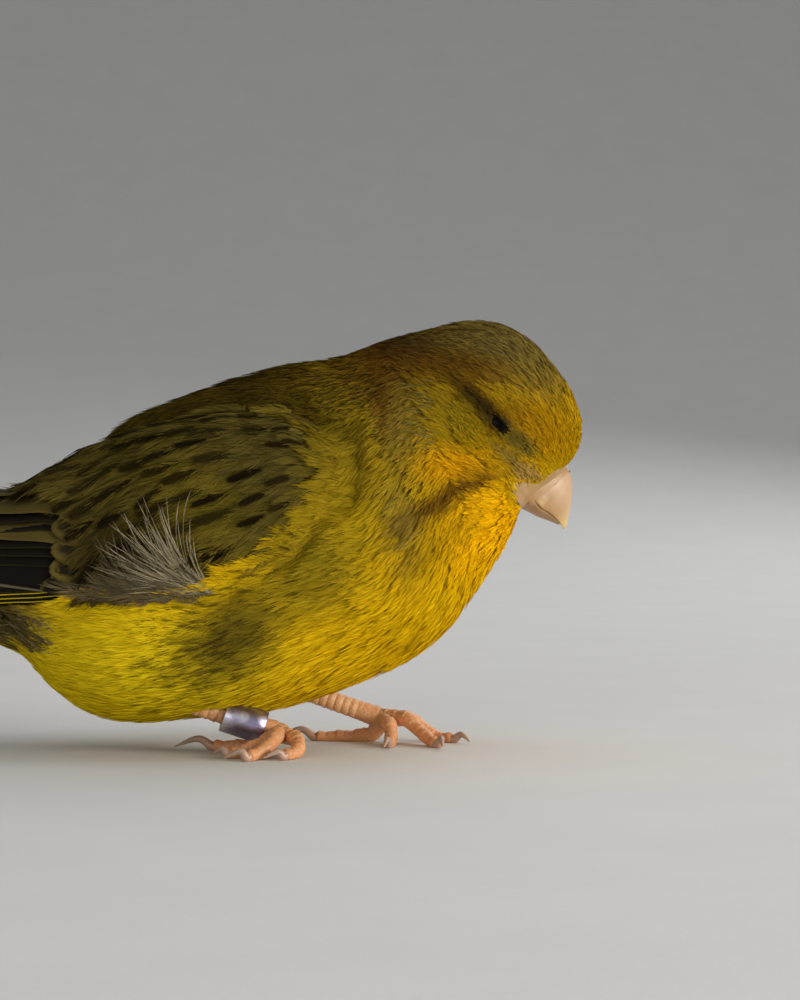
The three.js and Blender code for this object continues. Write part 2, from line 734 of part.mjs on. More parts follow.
const LEGS = {
  right: {
    root: new THREE.Vector3(15.5, -6.6, 6.3),
    joint: new THREE.Vector3(27.2, -5.8, 2.3),
    toes: {
      inner: [[29.2, -8.2, 1.8], [29.4, -10.4, 0.9], [28.2, -11.9, 0.5]],
      middle: [[27, -8.8, 2.2], [26, -11.4, 1.2], [24.4, -13, 0.5]],
      outer: [[25.8, -8.7, 1.6], [23.8, -10, 0.9], [22.4, -10.4, 0.5]],
      back: [[26.2, -4, 1.5], [24.2, -3, 0.65], [21.6, -2.4, 0.5], [20, -2, 0.5]],
    },
    claws: {
      inner: [[27.3, -12.7, 0.95], [25.9, -13.2, 0.35]],
      middle: [[23.4, -13.5, 1.1], [21.6, -13.3, 0.35]],
      outer: [[21.2, -10.3, 0.95], [20, -9.8, 0.3]],
      back: [[18, -1.5, 1.25], [15.4, -1.1, 0.35]],
    },
  },
  left: {
    root: new THREE.Vector3(27.6, 8.6, 6.4),
    joint: new THREE.Vector3(38.2, 8, 2.7),
    toes: {
      inner: [[39.2, 5.4, 2.1], [39.4, 2.8, 0.7], [39.2, 1, 0.45]],
      middle: [[41, 6, 2.8], [43.2, 3.8, 1.1], [44.4, 1.2, 0.45]],
      outer: [[41.6, 8.4, 2.4], [44.2, 7.8, 0.7], [46.2, 6.6, 0.45]],
      back: [[37.3, 8.1, 1], [35.4, 8.3, 0.55], [33, 8.5, 0.48], [31, 8.7, 0.45]],
    },
    claws: {
      inner: [[39, -0.4, 1], [38.6, -1.8, 0.3]],
      middle: [[45, -0.4, 1.15], [45.1, -2.4, 0.35]],
      outer: [[47.4, 5.7, 1], [48.3, 4.6, 0.3]],
      back: [[29, 9, 1.3], [26.4, 9.2, 0.35]],
    },
  },
};
const LEG_RADIUS = 1.35;
const ANKLE_ROOM = 1.65;
const RING_START = 0.49;
const RING_LENGTH = 4.6;
const RING_INNER = 1.45;
const RING_OUTER = 1.85;

function legPath(leg) {
  return [leg.root, leg.root.clone().lerp(leg.joint, 0.5), leg.joint];
}

function tarsus(leg) {
  const radii = (part) => 1.05 + 0.25 * Math.pow(Math.abs(part - 0.45) / 0.55, 2);
  const ends = legPath(leg);
  const short = ends[0].distanceTo(ends[2]) - 0.9;
  ends[2] = ends[0].clone().add(ends[2].clone().sub(ends[0]).setLength(short));
  return limb(ends, radii, { round: 10, scutes: 6, raise: 0.16 });
}

const TOE_SCUTES = { inner: 4, middle: 5, outer: 4, back: 4 };

function toe(leg, name) {
  const points = [leg.joint.clone(), ...leg.toes[name].map((place) => new THREE.Vector3(...place))];
  const radii = (part) => 0.95 - 0.35 * part + 0.08 * Math.sin(part * Math.PI * 5);
  return limb(points, radii, { round: 8, scutes: TOE_SCUTES[name], raise: 0.13 });
}

function claw(leg, name) {
  const places = leg.toes[name].map((place) => new THREE.Vector3(...place));
  const before = places[places.length - 2];
  const end = places[places.length - 1];
  const ahead = end.clone().sub(before).normalize();
  const start = end.clone().addScaledVector(ahead, GAP + 0.05);
  const straight = start.clone().addScaledVector(ahead, GAP);
  const bend = leg.claws[name].map((place) => new THREE.Vector3(...place));
  const points = [start, straight, ...bend];
  const radii = (part) => 0.5 * Math.pow(1 - part, 0.8) + 0.07;
  return limb(points, radii, { rows: 6, round: 6, flatness: 1.1 });
}

function foot(leg) {
  const geometries = Object.keys(leg.toes).map((name) => toe(leg, name));
  let solid = joined(geometries);
  const shaft = leg.joint.clone().sub(leg.root).normalize();
  const start = leg.joint.clone().addScaledVector(shaft, -6);
  const end = leg.joint.clone().addScaledVector(shaft, -0.9 + GAP);
  const path = [start, start.clone().lerp(end, 0.5), end];
  solid = solid.subtract(toSolid(limb(path, () => ANKLE_ROOM, { rows: 2, round: 10 })));
  return fromSolid(solid);
}

function legRing(leg) {
  const shaft = leg.joint.clone().sub(leg.root).normalize();
  const start = leg.root.clone().lerp(leg.joint, RING_START);
  const side = new THREE.Vector3().crossVectors(shaft, new THREE.Vector3(0, 0, 1)).normalize();
  const up = new THREE.Vector3().crossVectors(side, shaft);
  const profile = [
    new THREE.Vector2(RING_INNER, 0), new THREE.Vector2(RING_OUTER, 0),
    new THREE.Vector2(RING_OUTER, RING_LENGTH), new THREE.Vector2(RING_INNER, RING_LENGTH),
    new THREE.Vector2(RING_INNER, 0),
  ];
  const geometry = new THREE.LatheGeometry(profile, 24);
  const frame = new THREE.Matrix4().makeBasis(side, shaft, up.clone().negate()).setPosition(start);
  geometry.applyMatrix4(frame);
  geometry.deleteAttribute("normal");
  geometry.deleteAttribute("uv");
  const closed = mergeVertices(geometry, 1e-4);
  return closedGeometry(Array.from(closed.attributes.position.array), Array.from(closed.index.array));
}

// Room in the belly plumage for the legs and the ring
function legRoom(leg, withRing) {
  const shaft = leg.joint.clone().sub(leg.root).normalize();
  const start = leg.root.clone().addScaledVector(shaft, -GAP);
  const end = leg.joint.clone().addScaledVector(shaft, 2);
  const shaftRoom = LEG_RADIUS + GAP;
  const ringRoom = RING_OUTER + GAP;
  const radii = (part) => (withRing && part > RING_START - 0.15 ? ringRoom + 0.1 : shaftRoom);
  return toSolid(limb([start, start.clone().lerp(end, 0.5), end], radii, { rows: 8, round: 12 }));
}

function torso() {
  const rings = bodyLength(TAIL_PLANE, NECK_BACK, 18, bodyDistance);
  let solid = toSolid(rings);
  solid = solid.subtract(legRoom(LEGS.right, true));
  solid = solid.subtract(legRoom(LEGS.left, false));
  return fromSolid(solid);
}

function finish(colour, roughness, metalness = 0) {
  return new THREE.MeshStandardMaterial({ color: colour, roughness, metalness });
}

const FINISH = {
  yellow: finish(0xb08a10, 0.9),
  head: finish(0xa8760f, 0.9),
  wing: finish(0x4d4720, 0.85),
  tail: finish(0x3b3622, 0.85),
  bill: finish(0xd9a98e, 0.45),
  eye: finish(0x140c08, 0.12),
  leg: finish(0xc9806a, 0.6),
  claw: finish(0x6a4a3a, 0.4),
  ring: finish(0xb9b6cc, 0.3, 1),
};

const bird = new THREE.Group();

function add(name, geometry, material) {
  const mesh = new THREE.Mesh(geometry, material);
  mesh.name = name;
  bird.add(mesh);
}

add("head", head(), FINISH.head);
add("neck", bodyLength(NECK_BACK, NECK_FRONT, 5, coatDistance), FINISH.yellow);
add("torso", torso(), FINISH.yellow);
add("tail", tail(), FINISH.tail);
add("bill_upper", upperBill(), FINISH.bill);
add("bill_lower", lowerBill(), FINISH.bill);
const foldedWing = wing();
add("wing_right", foldedWing, FINISH.wing);
add("wing_left", mirrored(foldedWing), FINISH.wing);
for (const [name, leg] of Object.entries(LEGS)) {
  const side = name === "right" ? RIGHT : LEFT;
  add(`eye_${name}`, ball(eyeMiddle(side), EYE_RADIUS, 14, 9), FINISH.eye);
  add(`leg_${name}`, tarsus(leg), FINISH.leg);
  add(`foot_${name}`, foot(leg), FINISH.leg);
  for (const toeName of Object.keys(leg.toes)) {
    add(`claw_${name}_${toeName}`, claw(leg, toeName), FINISH.claw);
  }
}
add("leg_ring", legRing(LEGS.right), FINISH.ring);

// The origin lies on the floor under the middle of the whole bird
const extent = new THREE.Box3().setFromObject(bird);
bird.position.set(-(extent.min.x + extent.max.x) / 2, -(extent.min.y + extent.max.y) / 2, 0);

export default bird;
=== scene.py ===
import logging
import math
from dataclasses import dataclass, replace
from enum import Enum
from typing import Callable, ClassVar, Sequence

import bpy
import numpy as np
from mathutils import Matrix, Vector


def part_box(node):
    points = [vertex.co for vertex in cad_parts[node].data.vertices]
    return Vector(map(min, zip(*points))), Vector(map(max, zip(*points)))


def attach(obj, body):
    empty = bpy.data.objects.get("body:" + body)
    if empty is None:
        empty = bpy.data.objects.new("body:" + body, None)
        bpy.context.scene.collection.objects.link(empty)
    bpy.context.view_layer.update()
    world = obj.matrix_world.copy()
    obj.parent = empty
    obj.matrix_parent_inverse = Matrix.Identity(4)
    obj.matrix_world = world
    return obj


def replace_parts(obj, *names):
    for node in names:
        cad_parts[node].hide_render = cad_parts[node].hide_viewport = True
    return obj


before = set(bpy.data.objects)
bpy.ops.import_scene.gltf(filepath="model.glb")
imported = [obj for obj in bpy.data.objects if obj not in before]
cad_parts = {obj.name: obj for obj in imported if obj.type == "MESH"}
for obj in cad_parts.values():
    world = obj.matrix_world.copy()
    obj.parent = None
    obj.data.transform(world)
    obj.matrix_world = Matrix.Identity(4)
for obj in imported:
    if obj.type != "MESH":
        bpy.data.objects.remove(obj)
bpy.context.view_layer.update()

LOG = logging.getLogger("canary")
MM = 0.001
SEED = 27
SEED_STEPS = {"flight": 20, "streaked": 21, "plain": 22, "tail": 30, "wisps": 40}
Array = np.ndarray
Point = tuple[float, float, float]
Pair = tuple[float, float]
Distance = Callable[[Array], Array]


class Side(Enum):
    """The bird's two sides, by the sign of y."""

    RIGHT = -1
    LEFT = 1


def smoothstep(value: Array, low: float, high: float) -> Array:
    """Rises smoothly from 0 at one value to 1 at another."""
    part = np.clip((np.asarray(value, dtype=float) - low) / (high - low), 0.0, 1.0)
    return part * part * (3.0 - 2.0 * part)


def unit(vectors: Array) -> Array:
    """Scales rows of vectors to length one."""
    return vectors / (np.linalg.norm(vectors, axis=-1, keepdims=True) + 1e-12)


def turned(dx: Array, dz: Array, degrees: float) -> tuple[Array, Array]:
    """Gives offsets along and square to a direction that is turned up from straight ahead."""
    turn = math.radians(degrees)
    return dx * math.cos(turn) + dz * math.sin(turn), dz * math.cos(turn) - dx * math.sin(turn)


def catmull_rom(points: Array, steps: int) -> Array:
    """Draws a smooth line through points.

    Args:
        points: the points it passes, in order.
        steps: how many places it gives from one point to the next.

    Returns:
        The places.
    """
    padded = np.vstack([2 * points[0] - points[1], points, 2 * points[-1] - points[-2]])
    places = []
    for before, start, end, after in zip(padded, padded[1:], padded[2:], padded[3:]):
        for t in np.linspace(0, 1, steps, endpoint=False):
            bend = 2 * start + (end - before) * t
            bend = bend + (2 * before - 5 * start + 4 * end - after) * t ** 2
            bend = bend + (3 * start - before - 3 * end + after) * t ** 3
            places.append(bend / 2)
    places.append(points[-1])
    return np.array(places)


# Shape of the bird, in millimetres before it is centred on the floor


@dataclass(frozen=True)
class RoundedForm:
    """One rounded form of the body.

    Args:
        x: the middle along the bird.
        z: the height of the middle.
        along: half its length.
        high: half its height.
        wide: half its width.
        tilt: how far its front is raised, in degrees.
        side: how far a pair of such forms stands off the middle.
    """

    x: float
    z: float
    along: float
    high: float
    wide: float
    tilt: float = 0.0
    side: float = 0.0

    def distance(self, points: Array) -> Array:
        """Gives the distance of points to the form, below zero inside it.

        Args:
            points: places in millimetres.

        Returns:
            One distance for each point.
        """
        forward, upward = turned(points[..., 0] - self.x, points[..., 2] - self.z, self.tilt)
        dy = np.abs(points[..., 1]) - self.side
        near = np.sqrt((forward / self.along) ** 2 + (upward / self.high) ** 2 + (dy / self.wide) ** 2)
        slope = np.sqrt(
            (forward / self.along ** 2) ** 2 + (upward / self.high ** 2) ** 2 + (dy / self.wide ** 2) ** 2
        )
        return near * (near - 1.0) / (slope + 1e-9)


@dataclass(frozen=True)
class SectionPlane:
    """A plane across the body, given by its highest and lowest point.

    Args:
        top: x and z at the top.
        low: x and z at the bottom.
    """

    top: Pair
    low: Pair

    def toward(self, other: "SectionPlane", part: float) -> "SectionPlane":
        """Gives a plane between this one and another.

        Args:
            other: the far plane.
            part: how far towards it.

        Returns:
            The plane between.
        """
        top = tuple(a + (b - a) * part for a, b in zip(self.top, other.top))
        low = tuple(a + (b - a) * part for a, b in zip(self.low, other.low))
        return SectionPlane(top, low)

    @property
    def middle(self) -> Array:
        """The middle of the section."""
        return np.array([(self.top[0] + self.low[0]) / 2, 0.0, (self.top[1] + self.low[1]) / 2])

    @property
    def upward(self) -> Array:
        """The unit direction from its bottom to its top."""
        return unit(np.array([self.top[0] - self.low[0], 0.0, self.top[1] - self.low[1]]))


@dataclass(frozen=True)
class BirdSizes:
    """Named sizes of the bird, in millimetres and degrees."""

    blend: float = 1.6
    rest_deep: float = 2.3
    rest_rim: float = 3.0
    rest_inner: float = 0.2
    rest_above: float = 1.2
    rest_clear: float = 0.95
    rest_back: float = 7.0
    wrap_blend: float = 1.5
    wing_front: float = 34.0
    wing_tip: float = -38.5
    eye_x: float = 51.4
    eye_seen_x: float = 51.0
    eye_z: float = 35.9
    eye_sunk: float = 2.3
    eye_radius: float = 2.25
    head_middle: Point = (49.6, 0.0, 35.2)
    bill_base: Point = (56.4, 0.0, 29.1)
    bill_pitch: float = -48.0
    bill_depth: float = 6.9
    bill_width: float = 6.2
    bill_overlap: float = 0.25
    tail_start: float = -6.0
    tail_gap: float = 0.3
    tail_droop: float = 7.0
    tail_root_z: float = 18.2
    tail_length: float = 54.0


SIZES = BirdSizes()

BODY_FORMS = {
    "torso": RoundedForm(22, 21.7, 22.7, 17.8, 15.4, 5),
    "breast": RoundedForm(34.2, 25, 15.2, 16.4, 14.6, 30),
    "belly": RoundedForm(10.5, 16.2, 11.5, 12.8, 13.2, -3),
    "flank": RoundedForm(16, 14, 15, 8.2, 8.4, 3, 6.5),
    "rump": RoundedForm(0, 18.8, 9.4, 7.4, 6.8, 10),
    "mantle": RoundedForm(28.6, 32.3, 14, 9.7, 10.8, 12),
    "neck": RoundedForm(41, 33.3, 10.9, 12.5, 10, -20),
    "skull": RoundedForm(49.2, 37.5, 9, 10, 9),
    "brow": RoundedForm(53.6, 35.5, 6.7, 6.1, 6.3),
    "cheek": RoundedForm(46, 31.5, 7.2, 6.2, 4.6, -30, 4.8),
    "throat": RoundedForm(46, 25.8, 6.2, 6.6, 6.4, -20),
}
WING_WRAPS = (
    RoundedForm(-1, 19.4, 22, 8.2, 10.6, 14),
    RoundedForm(-14, 17.4, 30, 4.6, 5.6, 3),
)
WING_LINE_STEPS = 12
WING_LINE = ((38, 26.5), (28, 25), (14, 22.5), (2, 20), (-10, 18.2), (-24, 16.8), (-42, 15.8))
LOWER_EDGE = ((34, 8), (27, -12), (20, -20), (2, -13.5), (-12, -3), (-30, 8), (-39, 14))
UPPER_EDGE = ((34, 32), (27, 50), (20, 60), (2, 82), (-12, 86), (-24, 72), (-39, 34))
NECK_BACK = SectionPlane((33, 43.8), (44.5, 11.8))
NECK_FRONT = SectionPlane((39.8, 46.2), (51, 22))
TAIL_PLANE = SectionPlane((-6.4, 25), (-5.6, 13))
TAIL_ROOT = (15.0, 2.0, 0.8)


def along_table(table: Sequence[Pair], x: Array) -> Array:
    """Reads a value that changes smoothly along the bird.

    Args:
        table: pairs of x and value, from front to back.
        x: the places to read.

    Returns:
        One value for each place.
    """
    x = np.asarray(x, dtype=float)
    result = np.full(x.shape, float(table[-1][1]))
    result = np.where(x > table[0][0], float(table[0][1]), result)
    for (start, first), (end, last) in zip(table, table[1:]):
        part = smoothstep(start - x, 0.0, start - end)
        result = np.where((x <= start) & (x >= end), first + (last - first) * part, result)
    return result


PROBE = 0.05
RAY_STEP = 0.8
RAY_STEPS = 75
RAY_HALVINGS = 16


class BirdField:
    """The body as one signed distance, below zero inside."""

    def __init__(self, sizes: BirdSizes) -> None:
        """Keeps the sizes and works out the wing's middle line.

        Args:
            sizes: the named sizes of the bird.
        """
        self.sizes = sizes
        line = catmull_rom(np.array(WING_LINE, dtype=float), WING_LINE_STEPS)[::-1]
        self._line_x = line[:, 0]
        self._line_z = line[:, 1]

    @staticmethod
    def _union(distances: Sequence[Array], blend: float) -> Array:
        """Joins distances smoothly.

        Args:
            distances: one array for each form.
            blend: how far the forms flow into each other.

        Returns:
            The joined distance.
        """
        stack = np.stack(distances)
        least = stack.min(axis=0)
        return least - blend * np.log(np.exp((least - stack) / blend).sum(axis=0))

    def line_height(self, x: Array) -> Array:
        """Gives the height of the wing's middle line."""
        return np.interp(x, self._line_x, self._line_z)

    def coat(self, points: Array) -> Array:
        """Distance to the outer surface of the coat."""
        return self._union([form.distance(points) for form in BODY_FORMS.values()], self.sizes.blend)

    def wing_edges(self, points: Array) -> tuple[Array, Array, Array]:
        """Measures how far points lie inside the edges of the folded wing.

        Args:
            points: places in millimetres.

        Returns:
            The distances from its lower, upper and front edge, below zero outside.
        """
        x = points[..., 0]
        height = points[..., 2] - self.line_height(x)
        across = np.abs(points[..., 1])
        per_degree = np.hypot(height, across) * math.radians(1)
        turn = np.degrees(np.arctan2(height, across))
        low = (turn - along_table(LOWER_EDGE, x)) * per_degree
        high = (along_table(UPPER_EDGE, x) - turn) * per_degree
        return low, high, self.sizes.wing_front - x

    def under_wing(self, points: Array) -> Array:
        """Tells how far points lie under a folded wing.

        Args:
            points: places in millimetres.

        Returns:
            Values from 0 outside its outline to 1.
        """
        sizes = self.sizes
        low, high, front = self.wing_edges(points)
        share = 1.0
        for inside in (low, high + sizes.rest_above, front, (points[..., 0] - sizes.rest_back) / 2):
            share = share * smoothstep(inside, -sizes.rest_rim, sizes.rest_inner)
        return share

    def body(self, points: Array) -> Array:
        """Distance to the body with the rests of the wings.

        Args:
            points: places in millimetres.

        Returns:
            One distance for each point.
        """
        coat = self.coat(points)
        rest = coat + self.sizes.rest_deep * self.under_wing(points)
        return np.where(coat < -2 * self.sizes.rest_deep, coat, rest)

    def wing(self, points: Array) -> Array:
        """Distance to the surface on which a folded wing lies.

        Args:
            points: places in millimetres.

        Returns:
            One distance for each point.
        """
        parts = [self.body(points) - self.sizes.rest_clear]
        parts += [form.distance(points) for form in WING_WRAPS]
        return self._union(parts, self.sizes.wrap_blend)

    @staticmethod
    def outward(distance: Distance, points: Array) -> Array:
        """Gives the outward normal of a distance.

        Args:
            distance: the distance to use.
            points: places in millimetres.

        Returns:
            One unit vector for each point.
        """
        slope = np.empty_like(points)
        for axis in range(3):
            offset = np.zeros(3)
            offset[axis] = PROBE
            slope[..., axis] = distance(points + offset) - distance(points - offset)
        return unit(slope)

    @staticmethod
    def reach(distance: Distance, origins: Array, rays: Array) -> Array:
        """Finds where rays from inside leave a form.

        Args:
            distance: the distance to use.
            origins: where the rays start.
            rays: their unit directions.

        Returns:
            The length of each ray.
        """
        origins, rays = np.broadcast_arrays(origins, rays)
        inside = np.zeros(origins.shape[:-1])
        done = np.zeros(inside.shape, dtype=bool)
        for i in range(RAY_STEPS):
            outside = (i + 1) * RAY_STEP
            left = distance(origins + rays * outside) > 0
            done = done | left
            if done.all():
                break
            inside = np.where(done, inside, outside)
        outside = inside + RAY_STEP
        for _ in range(RAY_HALVINGS):
            middle = (inside + outside) / 2
            left = distance(origins + rays * middle[..., None]) > 0
            outside = np.where(left, middle, outside)
            inside = np.where(left, inside, middle)
        return inside

    def settle(self, distance: Distance, points: Array, level: Array) -> Array:
        """Moves points to a level of a distance."""
        off = (distance(points) - level)[..., None]
        return points - off * self.outward(distance, points)


FIELD = BirdField(SIZES)


# The grid of points over the whole body, and what grows where


@dataclass(frozen=True)
class GridSizes:
    """How fine the body's grid is."""

    around: int = 144
    tail_rings: int = 10
    torso_rings: int = 84
    neck_rings: int = 22
    head_rings: int = 64


class BodyGrid:
    """Rings of points on the coat's outer surface, from the tail to the bill."""

    def __init__(self, field: BirdField, grid: GridSizes) -> None:
        """Builds the rings.

        Args:
            field: the body's distances.
            grid: how fine the rings are.
        """
        self.field = field
        self.grid = grid
        angles = 2 * math.pi * (np.arange(grid.around) + 0.5) / grid.around
        self._up = np.cos(angles)
        self._side = -np.sin(angles)
        rings = self._tail_rings()
        rings += self._lengths(TAIL_PLANE, NECK_BACK, grid.torso_rings, field.body)[:-1]
        rings += self._lengths(NECK_BACK, NECK_FRONT, grid.neck_rings, field.coat)
        rings += self._head_rings(rings[-1])
        self.points = np.array(rings)

    def _ring(self, plane: SectionPlane, distance: Distance) -> Array:
        """Finds the ring where a plane meets the surface.

        Args:
            plane: the plane across the body.
            distance: the distance to use.

        Returns:
            The points of the ring.
        """
        rays = plane.upward[None, :] * self._up[:, None]
        rays[:, 1] = self._side
        lengths = self.field.reach(distance, plane.middle[None, :], rays)
        return plane.middle + rays * lengths[:, None]

    def _lengths(
        self, start: SectionPlane, end: SectionPlane, count: int, distance: Distance
    ) -> list[Array]:
        """Builds evenly spaced rings between two planes."""
        return [self._ring(start.toward(end, i / count), distance) for i in range(count + 1)]

    def _tail_rings(self) -> list[Array]:
        """Builds the rings of the tail's root, which narrows backwards.

        Returns:
            The rings from the back to the body.
        """
        body_end = self._ring(TAIL_PLANE, self.field.body)
        thin_end = on_tail(TAIL_ROOT[0], self._side * TAIL_ROOT[1], self._up * TAIL_ROOT[2])
        rings = []
        for part in np.linspace(0, 1, self.grid.tail_rings, endpoint=False):
            bend = math.sin(part * math.pi / 2)
            rings.append(thin_end + (body_end - thin_end) * np.array([part, bend, bend]))
        return rings

    def _head_rings(self, neck: Array) -> list[Array]:
        """Builds rings that turn over the head down to the bill.

        Args:
            neck: the last ring of the neck.

        Returns:
            The rings up to the bill's base.
        """
        sizes = self.field.sizes
        middle = np.array(sizes.head_middle)
        up = (sizes.bill_depth / 2 + sizes.bill_overlap) * self._up
        side = (sizes.bill_width / 2 + sizes.bill_overlap) * self._side
        face = on_bill(np.full(up.shape, -0.15), up, side)
        first = unit(neck - middle)
        last = unit(face - middle)
        turn = np.arccos(np.clip(np.sum(first * last, axis=1), -1, 1))[:, None]
        rings = []
        for part in np.linspace(0, 1, self.grid.head_rings + 1)[1:-1]:
            rays = unit(first * np.sin((1 - part) * turn) + last * np.sin(part * turn))
            lengths = self.field.reach(self.field.coat, middle[None, :], rays)
            rings.append(middle + rays * lengths[:, None])
        rings.append(face)
        return rings


def on_bill(ahead: Array, up: Array, side: Array) -> Array:
    """Gives places by the bill's own directions.

    Args:
        ahead: how far along the bill.
        up: how far above its middle line.
        side: how far to the left.

    Returns:
        The places in millimetres.
    """
    pitch = math.radians(SIZES.bill_pitch)
    ahead, up, side = np.broadcast_arrays(ahead, up, side)
    x = SIZES.bill_base[0] + ahead * math.cos(pitch) - up * math.sin(pitch)
    z = SIZES.bill_base[2] + ahead * math.sin(pitch) + up * math.cos(pitch)
    return np.stack([x, side, z], axis=-1)


def on_tail(length: Array, across: Array, up: Array) -> Array:
    """Gives places by the tail's own directions.

    Args:
        length: how far behind its root.
        across: how far to the left.
        up: how far above its middle line.

    Returns:
        The places in millimetres.
    """
    droop = math.radians(SIZES.tail_droop)
    length, across, up = np.broadcast_arrays(length, across, up)
    x = SIZES.tail_start - SIZES.tail_gap - length * math.cos(droop) - up * math.sin(droop)
    z = SIZES.tail_root_z - length * math.sin(droop) + up * math.cos(droop)
    return np.stack([x, across, z], axis=-1)


def eye_middle(side: Side) -> Array:
    """Gives the middle of an eye, set into the side of the head.

    Args:
        side: which eye.

    Returns:
        Its place in millimetres.
    """
    origin = np.array([[SIZES.eye_seen_x, 0.0, SIZES.eye_z]])
    out = FIELD.reach(FIELD.coat, origin, np.array([[0.0, side.value, 0.0]]))[0]
    return np.array([SIZES.eye_seen_x, side.value * (out - SIZES.eye_sunk), SIZES.eye_z])


EYE_TURN = -46.0
EYES = {side: eye_middle(side) for side in Side}


HEAD_LEAN = 0.55
HEAD_EDGE = (56.5, 62.0)


def bill_distance(points: Array) -> Array:
    """Gives how far points lie from the bill's base."""
    return np.linalg.norm(points - np.array(SIZES.bill_base), axis=-1)


def eye_distance(points: Array) -> Array:
    """Gives how far points lie from the eye, as the side view shows it."""
    return np.hypot(points[..., 0] - SIZES.eye_seen_x, points[..., 2] - SIZES.eye_z)


def face_nearness(points: Array) -> Array:
    """Gives 1 at the bill's base, falling to 0 behind the face."""
    return 1 - smoothstep(bill_distance(points), 4.0, 13.0)


def head_share(points: Array) -> Array:
    """Gives 1 on the head and 0 on the body."""
    return smoothstep(points[..., 0] + HEAD_LEAN * points[..., 2], *HEAD_EDGE)


COAT_DEPTHS = (1.5, 0.85, 0.3, 0.35, 0.7)


def coat_depth(points: Array) -> Array:
    """Gives how deep the skin lies under the coat's surface.

    Args:
        points: places in millimetres.

    Returns:
        One depth for each point.
    """
    head = head_share(points)
    on_body, on_head, on_face, by_eye, on_rest = COAT_DEPTHS
    depth = on_body + (on_head - on_body) * head
    depth = depth + (on_face - depth) * face_nearness(points) * head
    near_eye = 1 - smoothstep(eye_distance(points), 1.5, 4.0)
    near_eye = near_eye * smoothstep(np.abs(points[..., 1]), 3.0, 6.0)
    depth = depth + (by_eye - depth) * near_eye
    return depth + (on_rest - depth) * FIELD.under_wing(points) * 0.8


# Colours and markings


class Tone(Enum):
    """Colours of the plumage, as linear red, green and blue."""

    GOLD = (0.70, 0.43, 0.004)
    FLAME = (0.88, 0.46, 0.003)
    ORANGE = (0.62, 0.28, 0.004)
    RUST = (0.40, 0.20, 0.003)
    LEMON = (0.75, 0.555, 0.010)
    SAND = (0.46, 0.270, 0.060)
    AMBER = (0.34, 0.195, 0.004)
    OLIVE = (0.125, 0.088, 0.009)
    MOSS = (0.20, 0.150, 0.010)
    TEAK = (0.092, 0.068, 0.014)
    RUSSET = (0.115, 0.050, 0.006)
    UMBER = (0.022, 0.013, 0.005)
    SOOT = (0.009, 0.0065, 0.004)
    ASH = (0.13, 0.105, 0.058)
    SILVER = (0.36, 0.30, 0.18)
    DUN = (0.138, 0.102, 0.048)
    HOARY = (0.135, 0.098, 0.026)
    SAGE = (0.12, 0.105, 0.035)
    STRAW = (0.25, 0.200, 0.100)
    FAWN = (0.20, 0.150, 0.035)

    @property
    def colour(self) -> Array:
        """The colour as an array."""
        return np.array(self.value)


def beside(points: Array, least_y: float) -> Array:
    """Tells which places lie clear of the bird's middle line.

    Args:
        points: places in millimetres.
        least_y: how far off the line that is, or 0 for everywhere.

    Returns:
        Values from 0 near the line to 1.
    """
    if least_y <= 0:
        return np.ones(points.shape[:-1])
    return smoothstep(np.abs(points[..., 1]), least_y * 0.6, least_y)


@dataclass(frozen=True)
class Marking:
    """A soft patch of colour on both sides of the bird.

    Args:
        tone: its colour.
        centre: x and z of its middle.
        spread: how far it reaches along and up.
        strength: how strongly it covers what lies under it.
        turn: how far its length is turned up, in degrees.
        least_y: how far from the middle line it starts.
    """

    tone: Tone
    centre: Pair
    spread: Pair
    strength: float = 1.0
    turn: float = 0.0
    least_y: float = 0.0

    def mask(self, points: Array) -> Array:
        """Gives how strongly the patch shows at points.

        Args:
            points: places in millimetres.

        Returns:
            Values from 0 to the patch's strength.
        """
        dx = points[..., 0] - self.centre[0]
        dz = points[..., 2] - self.centre[1]
        along, upward = turned(dx, dz, self.turn)
        away = (along / self.spread[0]) ** 2 + (upward / self.spread[1]) ** 2
        return self.strength * (np.exp(-away ** 1.5) * beside(points, self.least_y))


